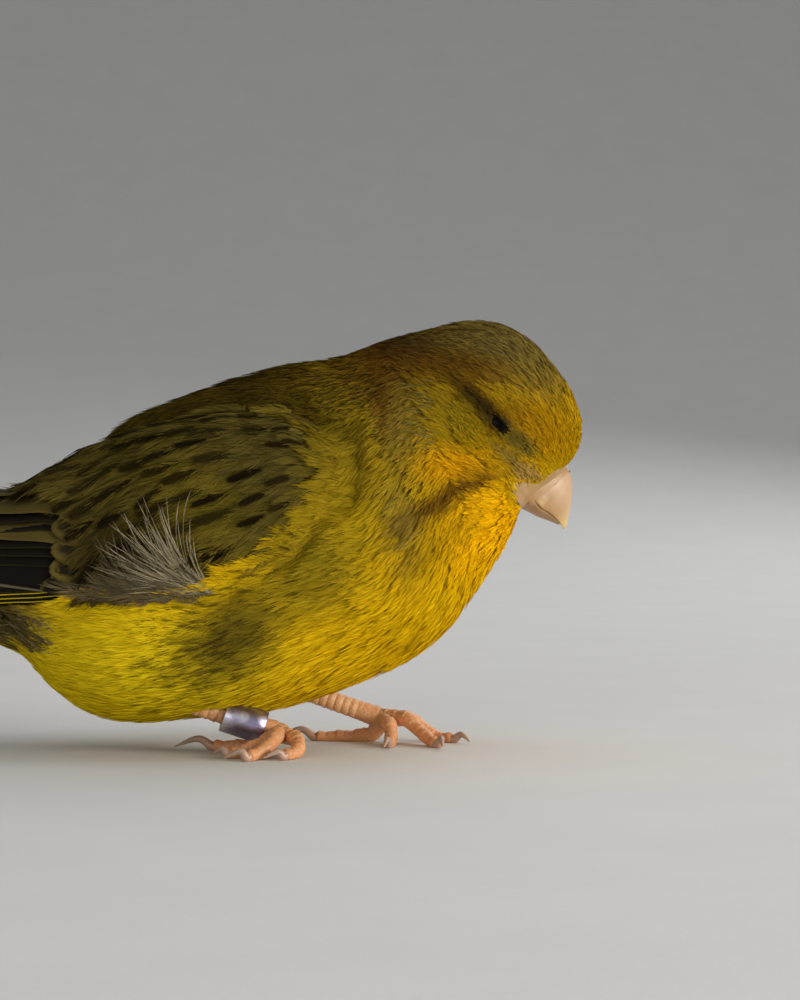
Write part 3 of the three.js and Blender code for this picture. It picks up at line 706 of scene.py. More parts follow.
MARKINGS = (
    Marking(Tone.LEMON, (8, 8), (19, 11), 1.0),
    Marking(Tone.MOSS, (30, 27), (8, 11), 0.6, 20),
    Marking(Tone.OLIVE, (24, 34), (17, 9), 0.95, 10),
    Marking(Tone.OLIVE, (8, 36), (14, 9), 1.0, 20),
    Marking(Tone.UMBER, (22, 43), (17, 7), 0.86, 8),
    Marking(Tone.MOSS, (22.5, 12.5), (6.4, 4.6), 0.7, 38),
    Marking(Tone.OLIVE, (23.0, 14), (5.4, 4.0), 0.85, 38),
    Marking(Tone.UMBER, (22.5, 13), (4.2, 2.6), 0.14, 38),
    Marking(Tone.MOSS, (31, 20), (5.5, 4.5), 0.75, 30),
    Marking(Tone.DUN, (-5, 16), (7, 5), 0.95),
    Marking(Tone.DUN, (-14, 14), (9, 7), 0.8),
    Marking(Tone.OLIVE, (-6, 26), (12, 6), 0.9),
    Marking(Tone.AMBER, (50, 37), (12, 9), 0.92),
    Marking(Tone.MOSS, (37, 36), (6, 10), 0.4, 20),
    Marking(Tone.MOSS, (41, 28), (5, 5), 0.3, 20),
    Marking(Tone.RUSSET, (39.5, 43.5), (7.5, 5.5), 0.95, 10),
    Marking(Tone.UMBER, (42, 45.5), (5.5, 2.4), 0.66, 8),
    Marking(Tone.HOARY, (51, 45.6), (8.6, 5.0), 0.95, -10),
    Marking(Tone.HOARY, (56.5, 42.0), (3.4, 3.4), 0.6, -40),
    Marking(Tone.RUSSET, (46.5, 42.4), (6.0, 1.7), 0.85, -6),
    Marking(Tone.RUSSET, (48.2, 38.9), (4.2, 1.2), 0.95, -42, 3.0),
    Marking(Tone.UMBER, (48.4, 38.6), (3.6, 1.0), 0.8, -43, 3.0),
    Marking(Tone.UMBER, (50.5, 36.3), (2.8, 1.3), 0.95, -45, 4.0),
    Marking(Tone.RUST, (56.5, 35.2), (4, 3.2), 0.75, -30),
    Marking(Tone.RUSSET, (53.8, 36.4), (3.0, 1.5), 0.6, -30, 3.0),
    Marking(Tone.RUST, (55.0, 35.2), (2.6, 2.1), 0.75, -40, 3.0),
    Marking(Tone.ORANGE, (46.0, 31.4), (4.4, 2.0), 0.8, 0, 3.0),
    Marking(Tone.FLAME, (49, 25), (5.0, 6), 0.9, -40),
    # Painted shadow: a dark line in the crease where the cheek's lower edge meets the breast.
    Marking(Tone.RUSSET, (44.3, 27.2), (6.4, 1.4), 0.95, 34, 2.0),
    Marking(Tone.AMBER, (44, 22.5), (6, 2.4), 0.6, 40),
    # Painted shadow: the upper end of the dark crease under the cheek.
    Marking(Tone.RUSSET, (48.5, 29.6), (3.4, 0.8), 0.75, 18, 3.0),
    Marking(Tone.MOSS, (45.5, 37.0), (3.8, 2.6), 0.6, -30, 4.0),
    # Painted shade: a dark grey-green patch below and ahead of the eye, under the brow, in this line and
    # the next.
    Marking(Tone.SAGE, (53.4, 33.9), (1.8, 1.0), 0.8, -48, 4.0),
    Marking(Tone.OLIVE, (53.1, 34.2), (2.4, 1.0), 0.95, -36, 4.0),
    Marking(Tone.HOARY, (51.6, 32.9), (2.2, 0.5), 0.7, -38, 4.0),
    Marking(Tone.HOARY, (39.8, 36.0), (2.4, 5.0), 0.55, 8, 4.0),
    # Painted shade: a thin dark line in the crease behind the ear coverts, carried on down the side of
    # the neck by the next line.
    Marking(Tone.RUSSET, (38.2, 38.5), (1.0, 4.4), 0.85, 8, 4.0),
    Marking(Tone.RUSSET, (36.8, 31.0), (0.8, 4.6), 0.3, 14, 4.0),
    Marking(Tone.HOARY, (40.6, 24.8), (2.0, 5.2), 0.5, 10, 4.0),
    Marking(Tone.SAGE, (53.6, 30.9), (2.6, 0.8), 0.6, -28, 3.0),
)
WING_MARKINGS = (
    Marking(Tone.MOSS, (20, 27), (5, 7), 0.55, 30),
    Marking(Tone.MOSS, (14, 33), (12, 4), 0.15, 30),
    Marking(Tone.LEMON, (28.5, 38.2), (4.4, 1.2), 0.13, 6),
    Marking(Tone.MOSS, (26.5, 19.5), (4, 3.5), 0.4, 30),
    Marking(Tone.MOSS, (32, 25), (3, 9), 0.5, 10),
    Marking(Tone.HOARY, (33.5, 35), (2.2, 5), 0.5),
    Marking(Tone.UMBER, (9, 21), (9, 4.5), 0.45, 10),
)


def painted(ground: Tone, markings: Sequence[Marking], points: Array) -> Array:
    """Lays markings over a ground colour, one after the other.

    Args:
        ground: the ground colour.
        markings: the markings.
        points: places in millimetres.

    Returns:
        Linear colours, one row for each point.
    """
    colour = np.broadcast_to(ground.colour, points.shape)
    for marking in markings:
        colour = colour + (marking.tone.colour - colour) * marking.mask(points)[..., None]
    return colour


def plumage_tone(points: Array) -> Array:
    """Gives the plumage's colour at places on the body."""
    return painted(Tone.GOLD, MARKINGS, points)


@dataclass(frozen=True)
class StreakPatch:
    """A region whose feathers have dark centres.

    Args:
        centre: x and z of its middle.
        spread: how far it reaches along and up.
        share: the part of the feathers that are streaked.
        strength: how dark the streaks are.
        least_y: how far from the middle line it starts.
    """

    centre: Pair
    spread: Pair
    share: float
    strength: float = 1.0
    least_y: float = 0.0

    def mask(self, points: Array) -> Array:
        """Gives the share of streaked feathers at points.

        Args:
            points: places in millimetres.

        Returns:
            Values from 0 to the patch's share.
        """
        along = (points[..., 0] - self.centre[0]) / self.spread[0]
        upward = (points[..., 2] - self.centre[1]) / self.spread[1]
        shown = 1 - smoothstep(along ** 2 + upward ** 2, 0.5, 1.1)
        return self.share * (shown * beside(points, self.least_y))


STREAK_PATCHES = (
    StreakPatch((23, 12.5), (6.2, 5.5), 0.7, 0.8, 6.0),
    StreakPatch((30, 20.0), (5, 4.0), 0.25, 0.8, 6.0),
    StreakPatch((27, 41), (14, 6), 0.95, 0.9),
    StreakPatch((50, 45.5), (7.5, 3.8), 0.6, 0.55),
    StreakPatch((40, 43), (6, 4), 0.4, 0.5),
    StreakPatch((3, 26), (9, 6), 0.6, 0.8),
)


def streak_share(points: Array) -> tuple[Array, Array]:
    """Gives how many feathers are streaked at places, and how darkly.

    Args:
        points: places in millimetres.

    Returns:
        The share and the strength, from 0 to 1.
    """
    masks = np.array([patch.mask(points) for patch in STREAK_PATCHES])
    strengths = np.array([patch.strength for patch in STREAK_PATCHES])
    return masks.max(axis=0), strengths[masks.argmax(axis=0)]


# Meshes from arrays

OWN_MAP = "UVMap"
BAKE_MAP = "OFBake"
BAKE_MARGIN = 0.02


def inset(part: Array) -> Array:
    """Keeps a place from 0 to 1 clear of the unwrap's rim."""
    return BAKE_MARGIN + (1 - 2 * BAKE_MARGIN) * part


@dataclass
class MeshArrays:
    """A mesh in millimetres, with what its material and its bake read.

    Args:
        points: one row of x, y and z for each vertex.
        faces: rows of three vertex numbers.
        tone: one linear colour for each vertex.
        edge: the colour of the feather's rim for each vertex.
        mark: streak, rim and chance for each vertex.
        uv: places across and along the feather.
        bake: places on the unwrap of the skin.
    """

    points: Array
    faces: Array
    tone: Array
    edge: Array
    mark: Array
    uv: Array
    bake: Array

    @staticmethod
    def joined(parts: Sequence["MeshArrays"]) -> "MeshArrays":
        """Joins meshes into one.

        Args:
            parts: the meshes.

        Returns:
            The joined mesh.
        """
        starts = np.cumsum([0] + [len(part.points) for part in parts[:-1]])
        faces = np.vstack([part.faces + start for part, start in zip(parts, starts)])
        columns = [
            np.vstack([getattr(part, name) for part in parts])
            for name in ("points", "tone", "edge", "mark", "uv", "bake")
        ]
        return MeshArrays(columns[0], faces, *columns[1:])

    def on_side(self, side: Side) -> "MeshArrays":
        """Gives a mesh of the right side, or the same one on the left."""
        if side is Side.RIGHT:
            return self
        return replace(self, points=self.points * np.array([1.0, -1.0, 1.0]), faces=self.faces[:, ::-1])


class Placement:
    """Turns the drawing's millimetres into the frame's metres."""

    def __init__(self) -> None:
        """Reads the drawing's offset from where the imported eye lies."""
        low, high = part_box("eye_right")
        self.shift_x = (low[0] + high[0]) / 2 / MM - SIZES.eye_x

    def __call__(self, points: Array) -> Array:
        """Places points in the frame."""
        return (np.asarray(points) + np.array([self.shift_x, 0.0, 0.0])) * MM


PLACE = Placement()


def build_object(
    name: str, data: MeshArrays, material: bpy.types.Material
) -> bpy.types.Object:
    """Makes a piece that rides on the bird.

    Args:
        name: the piece's name.
        data: its mesh.
        material: its finish.

    Returns:
        The new object.
    """
    mesh = bpy.data.meshes.new(name)
    count = len(data.faces)
    corners = data.faces.astype(np.int32).ravel()
    mesh.vertices.add(len(data.points))
    mesh.vertices.foreach_set("co", PLACE(data.points).astype(np.float32).ravel())
    mesh.loops.add(len(corners))
    mesh.loops.foreach_set("vertex_index", corners)
    mesh.polygons.add(count)
    mesh.polygons.foreach_set("loop_start", np.arange(0, 3 * count, 3, dtype=np.int32))
    mesh.polygons.foreach_set("use_smooth", np.ones(count, dtype=bool))
    for label, values in ((OWN_MAP, data.uv), (BAKE_MAP, data.bake)):
        layer = mesh.uv_layers.new(name=label)
        layer.data.foreach_set("uv", values[corners].astype(np.float32).ravel())
    for label, values in (("tone", data.tone), ("edge", data.edge), ("mark", data.mark)):
        attribute = mesh.attributes.new(label, "FLOAT_COLOR", "POINT")
        colours = np.ones((len(values), 4), dtype=np.float32)
        colours[:, :3] = values
        attribute.data.foreach_set("color", colours.ravel())
    mesh.materials.append(material)
    mesh.update(calc_edges=True)
    piece = bpy.data.objects.new(name, mesh)
    bpy.context.scene.collection.objects.link(piece)
    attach(piece, "root")
    LOG.info("%s: %d triangles", name, count)
    return piece


def grid_faces(rows: int, columns: int, closed: bool) -> Array:
    """Gives the triangles of a grid of vertices.

    Args:
        rows: its rows.
        columns: its columns.
        closed: whether its last column meets the first.

    Returns:
        Rows of three vertex numbers.
    """
    across = columns if closed else columns - 1
    i, j = np.meshgrid(np.arange(rows - 1), np.arange(across), indexing="ij")
    a = (i * columns + j).ravel()
    b = (i * columns + (j + 1) % columns).ravel()
    c = a + columns
    d = b + columns
    return np.vstack([np.stack([a, c, d], axis=1), np.stack([a, d, b], axis=1)])


def grid_map(rows: int, columns: int) -> Array:
    """Gives the places of a grid of vertices across and along it, from 0 to 1."""
    across, along = np.meshgrid(np.linspace(0, 1, columns), np.linspace(0, 1, rows))
    return np.stack([across, along], axis=-1).reshape(-1, 2)


# Feathers


@dataclass(frozen=True)
class PlumeStyle:
    """How one kind of small feather is made.

    Args:
        length: its usual length.
        width: its usual width.
        barbs: how many loose barbs it has.
        barb_width: how wide a barb is.
        vane_rows: how finely its solid middle is divided.
        vane_share: the part of its width that is solid.
        fuzz: how far barb tips stand off.
        open_angle: how steeply barbs leave the shaft, from 0 to 1.
        variants: how many different ones are drawn.
    """

    length: float
    width: float
    barbs: int
    barb_width: float = 0.13
    vane_rows: int = 4
    vane_share: float = 0.62
    fuzz: float = 0.12
    open_angle: float = 0.42
    variants: int = 14


class PlumeTemplate:
    """The vertices of one feather by its own directions."""

    CROWN = 0.8

    def __init__(self, style: PlumeStyle, rng: np.random.Generator) -> None:
        """Draws one feather.

        Args:
            style: how it is made.
            rng: the source of chance.
        """
        self.style = style
        self._along: list[float] = []
        self._across: list[float] = []
        self._offset: list[Point] = []
        self._faces: list[tuple[int, int, int]] = []
        self._add_vane()
        for index in range(style.barbs):
            self._add_barb((index + 0.5) / style.barbs, rng)
        self.along = np.array(self._along)
        self.across = np.array(self._across)
        self.offset = np.array(self._offset)
        self.faces = np.array(self._faces)
        self.uv = np.stack([self.across * 0.5 + 0.5, self.along], axis=1)

    def _point(self, along: float, across: float, offset: Point) -> int:
        """Adds a vertex and gives its number.

        Args:
            along: its place along the shaft, from 0 to 1.
            across: its place across, in half widths.
            offset: how far it is moved forward, sideways and outward.

        Returns:
            The number.
        """
        self._along.append(along)
        self._across.append(across)
        self._offset.append(offset)
        return len(self._along) - 1

    @staticmethod
    def outline(part: float) -> float:
        """Gives the feather's half width, as a share of its widest."""
        return max(0.0, math.sin(math.pi * min(1.0, 0.12 + 0.8 * part)) ** 0.7 * (1 - part ** 5))

    def _add_vane(self) -> None:
        """Adds the solid middle of the feather, slightly arched."""
        rows = self.style.vane_rows
        lines = []
        for row in range(rows + 1):
            part = 0.9 * row / rows
            half = self.style.vane_share * self.outline(part)
            sunk = -0.05 - 0.03 * row / rows
            lines.append([
                self._point(part, side * half, (0, 0, sunk - 0.05 * abs(side))) for side in (-1, 0, 1)
            ])
        for low, high in zip(lines, lines[1:]):
            for j in range(2):
                self._faces.append((low[j], high[j], high[j + 1]))
                self._faces.append((low[j], high[j + 1], low[j + 1]))

    def _add_barb(self, order: float, rng: np.random.Generator) -> None:
        """Adds one loose barb from the shaft to the feather's rim.

        Args:
            order: its turn among the barbs, from 0 at the root to 1 at the tip.
            rng: the source of chance.
        """
        style = self.style
        side = -1 if rng.random() < 0.5 else 1
        swing = (1 - order ** 1.6) * math.pi / 2
        tip_along = 0.30 + 0.72 * math.cos(swing) + rng.normal(0, 0.035)
        tip_across = side * (math.sin(swing) ** 0.8 * 0.98 + rng.normal(0, 0.07))
        if order > self.CROWN:
            tip_across = rng.uniform(-0.34, 0.34)
        lag = style.open_angle * (0.45 + 0.75 * abs(tip_across))
        root = max(0.02, tip_along - lag - rng.uniform(0, 0.1))
        half = style.barb_width / 2 * rng.uniform(0.75, 1.25)
        roll = rng.normal(0, 0.45)
        stand = abs(rng.normal(0, 1)) * style.fuzz
        run = (tip_along - root) * style.length
        rise = tip_across * style.width / 2
        size = math.hypot(run, rise) + 1e-6
        square = (-rise / size * half, run / size * half)
        middle_along = root + 0.48 * (tip_along - root)
        middle_across = 0.66 * tip_across
        places = ((root, 0.0, 0.9, 0.0), (middle_along, middle_across, 1.0, 0.35))
        numbers = []
        for along, across, wide, lift in places:
            for edge in (-1, 1):
                numbers.append(self._point(along, across, (
                    edge * wide * square[0] * math.cos(roll),
                    edge * wide * square[1] * math.cos(roll),
                    0.02 + stand * lift + edge * wide * half * math.sin(roll),
                )))
        end = self._point(tip_along, tip_across, (0.0, 0.0, stand + 0.01))
        a, b, c, d = numbers
        self._faces += [(a, c, d), (a, d, b), (c, end, d)]


@dataclass
class Shafts:
    """The shafts of many feathers.

    Args:
        points: places along each shaft, feathers by places by three.
        normals: the outward direction at each place.
    """

    points: Array
    normals: Array

    @property
    def tangents(self) -> Array:
        """The direction of growth at each place."""
        return unit(np.gradient(self.points, axis=1))

    @staticmethod
    def laid(
        distance: Distance,
        roots: Array,
        headings: Array,
        lengths: Array,
        root_level: Array,
        tip_level: Array,
        places: int = 5,
        curl: float | Array = 0.0,
    ) -> "Shafts":
        """Lays shafts along a surface.

        Args:
            distance: the surface's distance.
            roots: where they grow.
            headings: the way they point.
            lengths: how long each is.
            root_level: the distance of each root from the surface.
            tip_level: the distance of each tip from the surface.
            places: how many places each shaft has.
            curl: how far each turns along the surface on its way, in radians.

        Returns:
            The shafts.
        """
        points = [FIELD.settle(distance, roots, root_level)]
        normals = [FIELD.outward(distance, points[0])]
        heading = headings
        step = np.broadcast_to(np.asarray(curl, float) / (places - 1), lengths.shape)[:, None]
        for place in range(1, places):
            part = place / (places - 1)
            normal = normals[-1]
            heading = heading * np.cos(step) + np.cross(normal, heading) * np.sin(step)
            heading = unit(heading - normal * np.sum(heading * normal, axis=1, keepdims=True))
            ahead = points[-1] + heading * (lengths / (places - 1))[:, None]
            level = root_level + (tip_level - root_level) * math.sin(part * math.pi / 2)
            points.append(FIELD.settle(distance, ahead, level))
            normals.append(FIELD.outward(distance, points[-1]))
        return Shafts(np.stack(points, axis=1), np.stack(normals, axis=1))


class PlumeCoat:
    """Builds many small feathers of one style as one mesh."""

    BAKE_PATCH = 0.003

    def __init__(self, style: PlumeStyle, seed: int) -> None:
        """Draws the style's variants.

        Args:
            style: how the feathers are made.
            seed: starts the chance.
        """
        self.style = style
        self.rng = np.random.default_rng(seed)
        self.templates = [PlumeTemplate(style, self.rng) for _ in range(style.variants)]

    def build(
        self, shafts: Shafts, widths: Array, tone: Array, edge: Array, mark: Array, bake: Array
    ) -> MeshArrays:
        """Builds the feathers.

        Args:
            shafts: their shafts.
            widths: how wide each is.
            tone: the colour of each.
            edge: the rim's colour of each.
            mark: streak, rim and chance of each.
            bake: where each root lies on the unwrap of the skin.

        Returns:
            The joined mesh.
        """
        parts = []
        chosen = self.rng.integers(0, len(self.templates), len(widths))
        tangents = shafts.tangents
        for number, template in enumerate(self.templates):
            pick = np.flatnonzero(chosen == number)
            if len(pick) == 0:
                continue
            size = len(template.along)
            faces = template.faces[None, :, :] + (np.arange(len(pick)) * size)[:, None, None]
            patch = (np.clip(template.uv, 0, 1) - 0.5) * self.BAKE_PATCH
            places = self._bent(
                template, shafts.points[pick], tangents[pick], shafts.normals[pick], widths[pick]
            )
            parts.append(MeshArrays(
                places.reshape(-1, 3),
                faces.reshape(-1, 3),
                np.repeat(tone[pick], size, axis=0),
                np.repeat(edge[pick], size, axis=0),
                np.repeat(mark[pick], size, axis=0),
                np.tile(template.uv, (len(pick), 1)),
                (bake[pick][:, None, :] + patch[None, :, :]).reshape(-1, 2),
            ))
        return MeshArrays.joined(parts)

    @staticmethod
    def _bent(
        template: PlumeTemplate, points: Array, tangents: Array, normals: Array, widths: Array
    ) -> Array:
        """Bends copies of a template along shafts.

        Args:
            template: the feather's vertices.
            points: the places along each shaft.
            tangents: the direction of growth at each place.
            normals: the outward direction at each place.
            widths: how wide each copy is.

        Returns:
            The copies' vertices, copies by vertices by three.
        """
        last = points.shape[1] - 1
        scaled = np.clip(template.along, 0, 1.3) * last
        start = np.clip(scaled.astype(int), 0, last - 1)
        part = (scaled - start)[None, :, None]
        middle, forward, outward = (
            values[:, start] + (values[:, start + 1] - values[:, start]) * part
            for values in (points, tangents, normals)
        )
        forward = unit(forward)
        outward = unit(outward)
        sideways = unit(np.cross(outward, forward))
        across = template.across[None, :] * widths[:, None] / 2
        across = across + template.offset[None, :, 1]
        arch = -0.28 * np.abs(template.across[None, :]) ** 2 * widths[:, None] / 2 * 0.35
        place = middle + sideways * across[..., None]
        place = place + forward * template.offset[None, :, 0, None]
        return place + outward * (template.offset[None, :, 2] + arch)[..., None]


GAPE_UP = (-3.8, -3.6, -2.9, -2.4, -1.4, -0.3, 0.5, 2.0, 3.4, 3.6)
GAPE_BACK = (0.6, -1.6, -2.9, -3.0, -2.4, -0.9, -0.9, -0.8, -0.3, 0.6)


def bill_frame(points: Array) -> tuple[Array, Array]:
    """Gives how far places lie ahead of the bill's base and above its middle line."""
    base = SIZES.bill_base
    return turned(points[..., 0] - base[0], points[..., 2] - base[2], SIZES.bill_pitch)


def eye_frame(points: Array) -> tuple[Array, Array]:
    """Gives how far places lie along the eye's opening and above it."""
    return turned(points[..., 0] - SIZES.eye_seen_x, points[..., 2] - SIZES.eye_z, EYE_TURN)


class Zone(Enum):
    """The parts of the bird that the pieces of the coat cover."""

    FACE = "face"
    HEAD = "head"
    NECK = "neck"
    BACK = "back"
    BREAST = "breast"
    BELLY = "belly"
    TAIL = "tail"
    SHOULDER = "shoulder"


@dataclass(frozen=True)
class ZoneSizes:
    """Where the zones of the coat end, in millimetres."""

    neck_low: float = 48.0
    neck_back: float = 28.0
    back_slope: float = 0.3
    face_reach: float = 8.2
    eye_reach: float = 4.2
    eye_aside: float = 4.0
    belly_front: float = 19.0
    shoulder_front: float = 17.0
    shoulder_back: float = -3.0
    shoulder_wide: float = 4.0
    shoulder_narrow: float = 3.4
    shoulder_gap: float = 0.2


ZONES = ZoneSizes()


def inside_wing(points: Array) -> Array:
    """Gives how far places lie inside the folded wing's outline, below zero outside."""
    return np.minimum.reduce(FIELD.wing_edges(points))


def covered(zone: Zone, points: Array, normals: Array) -> Array:
    """Tells which places belong to a zone.

    Args:
        zone: the zone.
        points: places in millimetres.
        normals: their outward directions.

    Returns:
        True where they do.
    """
    x = points[..., 0]
    z = points[..., 2]
    head = head_share(points) > 0.5
    neck = ~head & (x + HEAD_LEAN * z > ZONES.neck_low) & (x > ZONES.neck_back)
    trunk = ~head & ~neck
    above = normals[..., 2] > ZONES.back_slope
    by_eye = (eye_distance(points) < ZONES.eye_reach) & (np.abs(points[..., 1]) > ZONES.eye_aside)
    face = (bill_distance(points) < ZONES.face_reach) | by_eye
    inside = inside_wing(points)
    reach = np.where(x > ZONES.shoulder_front, ZONES.shoulder_wide, ZONES.shoulder_narrow)
    low = z < FIELD.line_height(x)
    front = np.where(low, ZONES.shoulder_back, ZONES.shoulder_front)
    return {
        Zone.FACE: face,
        Zone.HEAD: head & ~face,
        Zone.NECK: neck,
        Zone.BACK: trunk & above,
        Zone.BREAST: trunk & ~above & (x > ZONES.belly_front),
        Zone.BELLY: trunk & ~above & (x <= ZONES.belly_front),
        Zone.TAIL: x < 0,
        Zone.SHOULDER: (inside > -reach) & (inside < -ZONES.shoulder_gap) & (x > front),
    }[zone]


@dataclass(frozen=True)
class CoatRegion:
    """One piece of the coat over the body.

    Args:
        zone: the part of the bird it covers.
        style: how its feathers are made.
        density: feathers on a square millimetre.
        loose: how far tips lie off the surface.
        sway: how far the lie varies, in degrees.
    """

    zone: Zone
    style: PlumeStyle
    density: float
    loose: float
    sway: float

    @property
    def on_tail(self) -> bool:
        """Whether it covers the tail's root instead of the body."""
        return self.zone is Zone.TAIL

    @property
    def drape(self) -> bool:
        """Whether it runs over the front of the folded wing."""
        return self.zone is Zone.SHOULDER


REGIONS = (
    CoatRegion(Zone.FACE, PlumeStyle(1.8, 0.8, 10, 0.07, 2, 0.55, 0.02), 7.0, -0.02, 8.0),
    CoatRegion(Zone.HEAD, PlumeStyle(3.1, 1.2, 15, 0.08, 2, 0.55, 0.025), 3.4, 0.0, 6.0),
    CoatRegion(Zone.NECK, PlumeStyle(4.6, 1.5, 22, 0.09, 3, 0.5, 0.035), 2.5, 0.0, 6.0),
    CoatRegion(Zone.BACK, PlumeStyle(6.2, 2.8, 36, 0.11, 4, 0.58, 0.05), 0.95, 0.0, 6.0),
    CoatRegion(Zone.BREAST, PlumeStyle(6.2, 1.9, 26, 0.09, 3, 0.5, 0.035), 1.7, 0.0, 6.0),
    CoatRegion(Zone.BELLY, PlumeStyle(6.8, 2.2, 30, 0.10, 4, 0.52, 0.05), 1.25, 0.0, 7.0),
    CoatRegion(Zone.TAIL, PlumeStyle(8.5, 3.2, 40, 0.11, 5, 0.6, 0.10), 0.6, 0.0, 5.0),
    CoatRegion(Zone.SHOULDER, PlumeStyle(5.8, 1.9, 32, 0.09, 4, 0.55, 0.06), 2.1, 0.08, 8.0),
)


def draped(points: Array) -> Array:
    """Distance to the body where it runs on over the front of the wings.

    Args:
        points: places in millimetres.

    Returns:
        One distance for each point.
    """
    body = FIELD.body(points)
    right = points * np.array([1.0, 0.0, 1.0]) - np.abs(points) * np.array([0.0, 1.0, 0.0])
    return body + (WING.top(right) - body) * smoothstep(inside_wing(points), -2.6, 0.8)


def swayed(headings: Array, normals: Array, degrees: Array) -> Array:
    """Turns headings to the side along a surface.

    Args:
        headings: the ways feathers point.
        normals: the surface's outward directions.
        degrees: how far each is turned.

    Returns:
        The turned headings.
    """
    sideways = unit(np.cross(normals, headings))
    turn = np.radians(degrees)[:, None]
    return headings * np.cos(turn) + sideways * np.sin(turn)


class BodyCoat:
    """Grows the small feathers over the whole body."""

    UNDER_WING = 0.97
    SPARED = 0.8
    SWAY = 0.8
    WAVE = 0.25
    BY_EYE = (1.2, 3.6)
    DRAPE_RISE = np.array([0.0, 0.0, 0.22])
    SIZE = (0.8, 1.2)
    TIP_SCATTER = 0.05
    TIP_DEPTH = 0.08
    ROOT_SHARE = 0.8
    SHADE = 0.06
    WIDTH = (0.85, 1.15)
    STREAK = (0.75, 1.0)
    STRAIGHT_PLACES = 5

    def __init__(self, grid: BodyGrid) -> None:
        """Measures the body's grid.

        Args:
            grid: the rings over the body.
        """
        self.grid = grid
        points = grid.points
        nxt = np.roll(points, -1, axis=1)
        self.corner = points[:-1]
        self.forward = points[1:] - points[:-1]
        self.around = nxt[:-1] - points[:-1]
        self.area = np.linalg.norm(np.cross(self.forward, self.around), axis=-1)
        self.centre = self.corner + self.forward / 2 + self.around / 2
        self.normal = FIELD.outward(FIELD.coat, self.centre)

    def _roots(self, region: CoatRegion, rng: np.random.Generator) -> tuple[Array, Array, Array]:
        """Draws where the feathers of a region grow.

        Args:
            region: the region.
            rng: the source of chance.

        Returns:
            The roots, the way each feather points, and its place on the unwrap.
        """
        rate = region.density * self.area * covered(region.zone, self.centre, self.normal)
        rate = rate * ((np.arange(len(rate)) < self.grid.grid.tail_rings) == region.on_tail)[:, None]
        rate = rate * (1 - self.SPARED * (FIELD.under_wing(self.centre) > self.UNDER_WING))
        rate = rate * self._bare(self.centre)
        total = np.cumsum(rate.ravel())
        count = int(total[-1])
        picks = (np.arange(count) + rng.random(count)) * total[-1] / count
        cells = np.minimum(np.searchsorted(total, picks), rate.size - 1)
        rows, columns = np.unravel_index(cells, rate.shape)
        along = rng.random(count)
        around = rng.random(count)
        roots = self.corner[rows, columns] + self.forward[rows, columns] * along[:, None]
        roots = roots + self.around[rows, columns] * around[:, None]
        headings = -unit(self.forward[rows, columns])
        bake = inset(np.stack([columns + around, rows + along], axis=1) / rate.shape[::-1])
        return roots, headings, bake

    @staticmethod
    def _bare(points: Array) -> Array:
        """Keeps feathers off the eyes and the bill, and sets them close round it.

        Args:
            points: places in millimetres.

        Returns:
            0 where nothing grows, 1 where they are set as usual.
        """
        along, upward = eye_frame(points)
        on_eye = np.hypot(along / 1.75, (upward + 0.05) / 0.56) < 1
        on_eye = on_eye & (np.abs(points[..., 1]) > ZONES.eye_aside)
        ahead, up = bill_frame(points)
        off = np.interp(up, GAPE_UP, GAPE_BACK) - ahead
        behind = smoothstep(off, -0.95, -0.45) * (1 + 1.3 * np.exp(-(off / 0.9) ** 2))
        return np.where(on_eye, 0.0, np.where(np.abs(up) < 3.7, behind, 1.0))

    def grow(self, region: CoatRegion, seed: int) -> MeshArrays:
        """Grows one region's feathers.

        Args:
            region: the region.
            seed: starts the chance.

        Returns:
            The joined mesh.
        """
        coat = PlumeCoat(region.style, seed)
        rng = coat.rng
        roots, headings, bake = self._roots(region, rng)
        count = len(roots)
        normals = FIELD.outward(FIELD.body, roots)
        x, _, z = roots.T
        wave = np.sin(x * 0.9 + z * 0.7) + np.sin(x * 0.37 - z * 1.1)
        sway = region.sway * (rng.normal(0, self.SWAY, count) + self.WAVE * wave)
        headings = swayed(headings, normals, sway)
        along, upward = eye_frame(roots)
        near_eye = 1 - smoothstep(np.hypot(along, upward), *self.BY_EYE)
        near_eye = near_eye * (np.abs(roots[:, 1]) > ZONES.eye_aside)
        eye_line = math.radians(EYE_TURN + 180)
        lie = np.array([math.cos(eye_line), 0.0, math.sin(eye_line)])
        headings = unit(headings + (lie - headings) * (0.8 * near_eye)[:, None])
        if region.drape:
            headings = unit(headings + self.DRAPE_RISE)
        before_eye = np.exp(-((along - 2.0) / 1.0) ** 2 - (upward / 0.8) ** 2) * near_eye
        size = rng.uniform(*self.SIZE, count) * (1 - 0.3 * near_eye) * (1 - 0.6 * before_eye)
        tips = region.loose + rng.normal(0, self.TIP_SCATTER, count) - self.TIP_DEPTH
        tips = tips + 0.12 * near_eye
        deep = -coat_depth(roots) * self.ROOT_SHARE * (1 - near_eye) - 0.1 * near_eye
        if region.on_tail:
            shafts = self._straight(roots, headings, region.style.length * size)
        else:
            surface = draped if region.drape else FIELD.body
            shafts = Shafts.laid(surface, roots, headings, region.style.length * size, deep, tips)
        shade = rng.normal(1.0, self.SHADE, count)[:, None]
        tone = np.clip(plumage_tone(shafts.points[:, -2]) * shade, 0, 1)
        share, strength = streak_share(roots)
        streaked = (rng.random(count) < share) * strength
        mark = np.stack([
            streaked * rng.uniform(*self.STREAK, count), np.zeros(count), rng.random(count)
        ], axis=1)
        widths = region.style.width * size * rng.uniform(*self.WIDTH, count)
        return coat.build(shafts, widths, tone, tone, mark, bake)

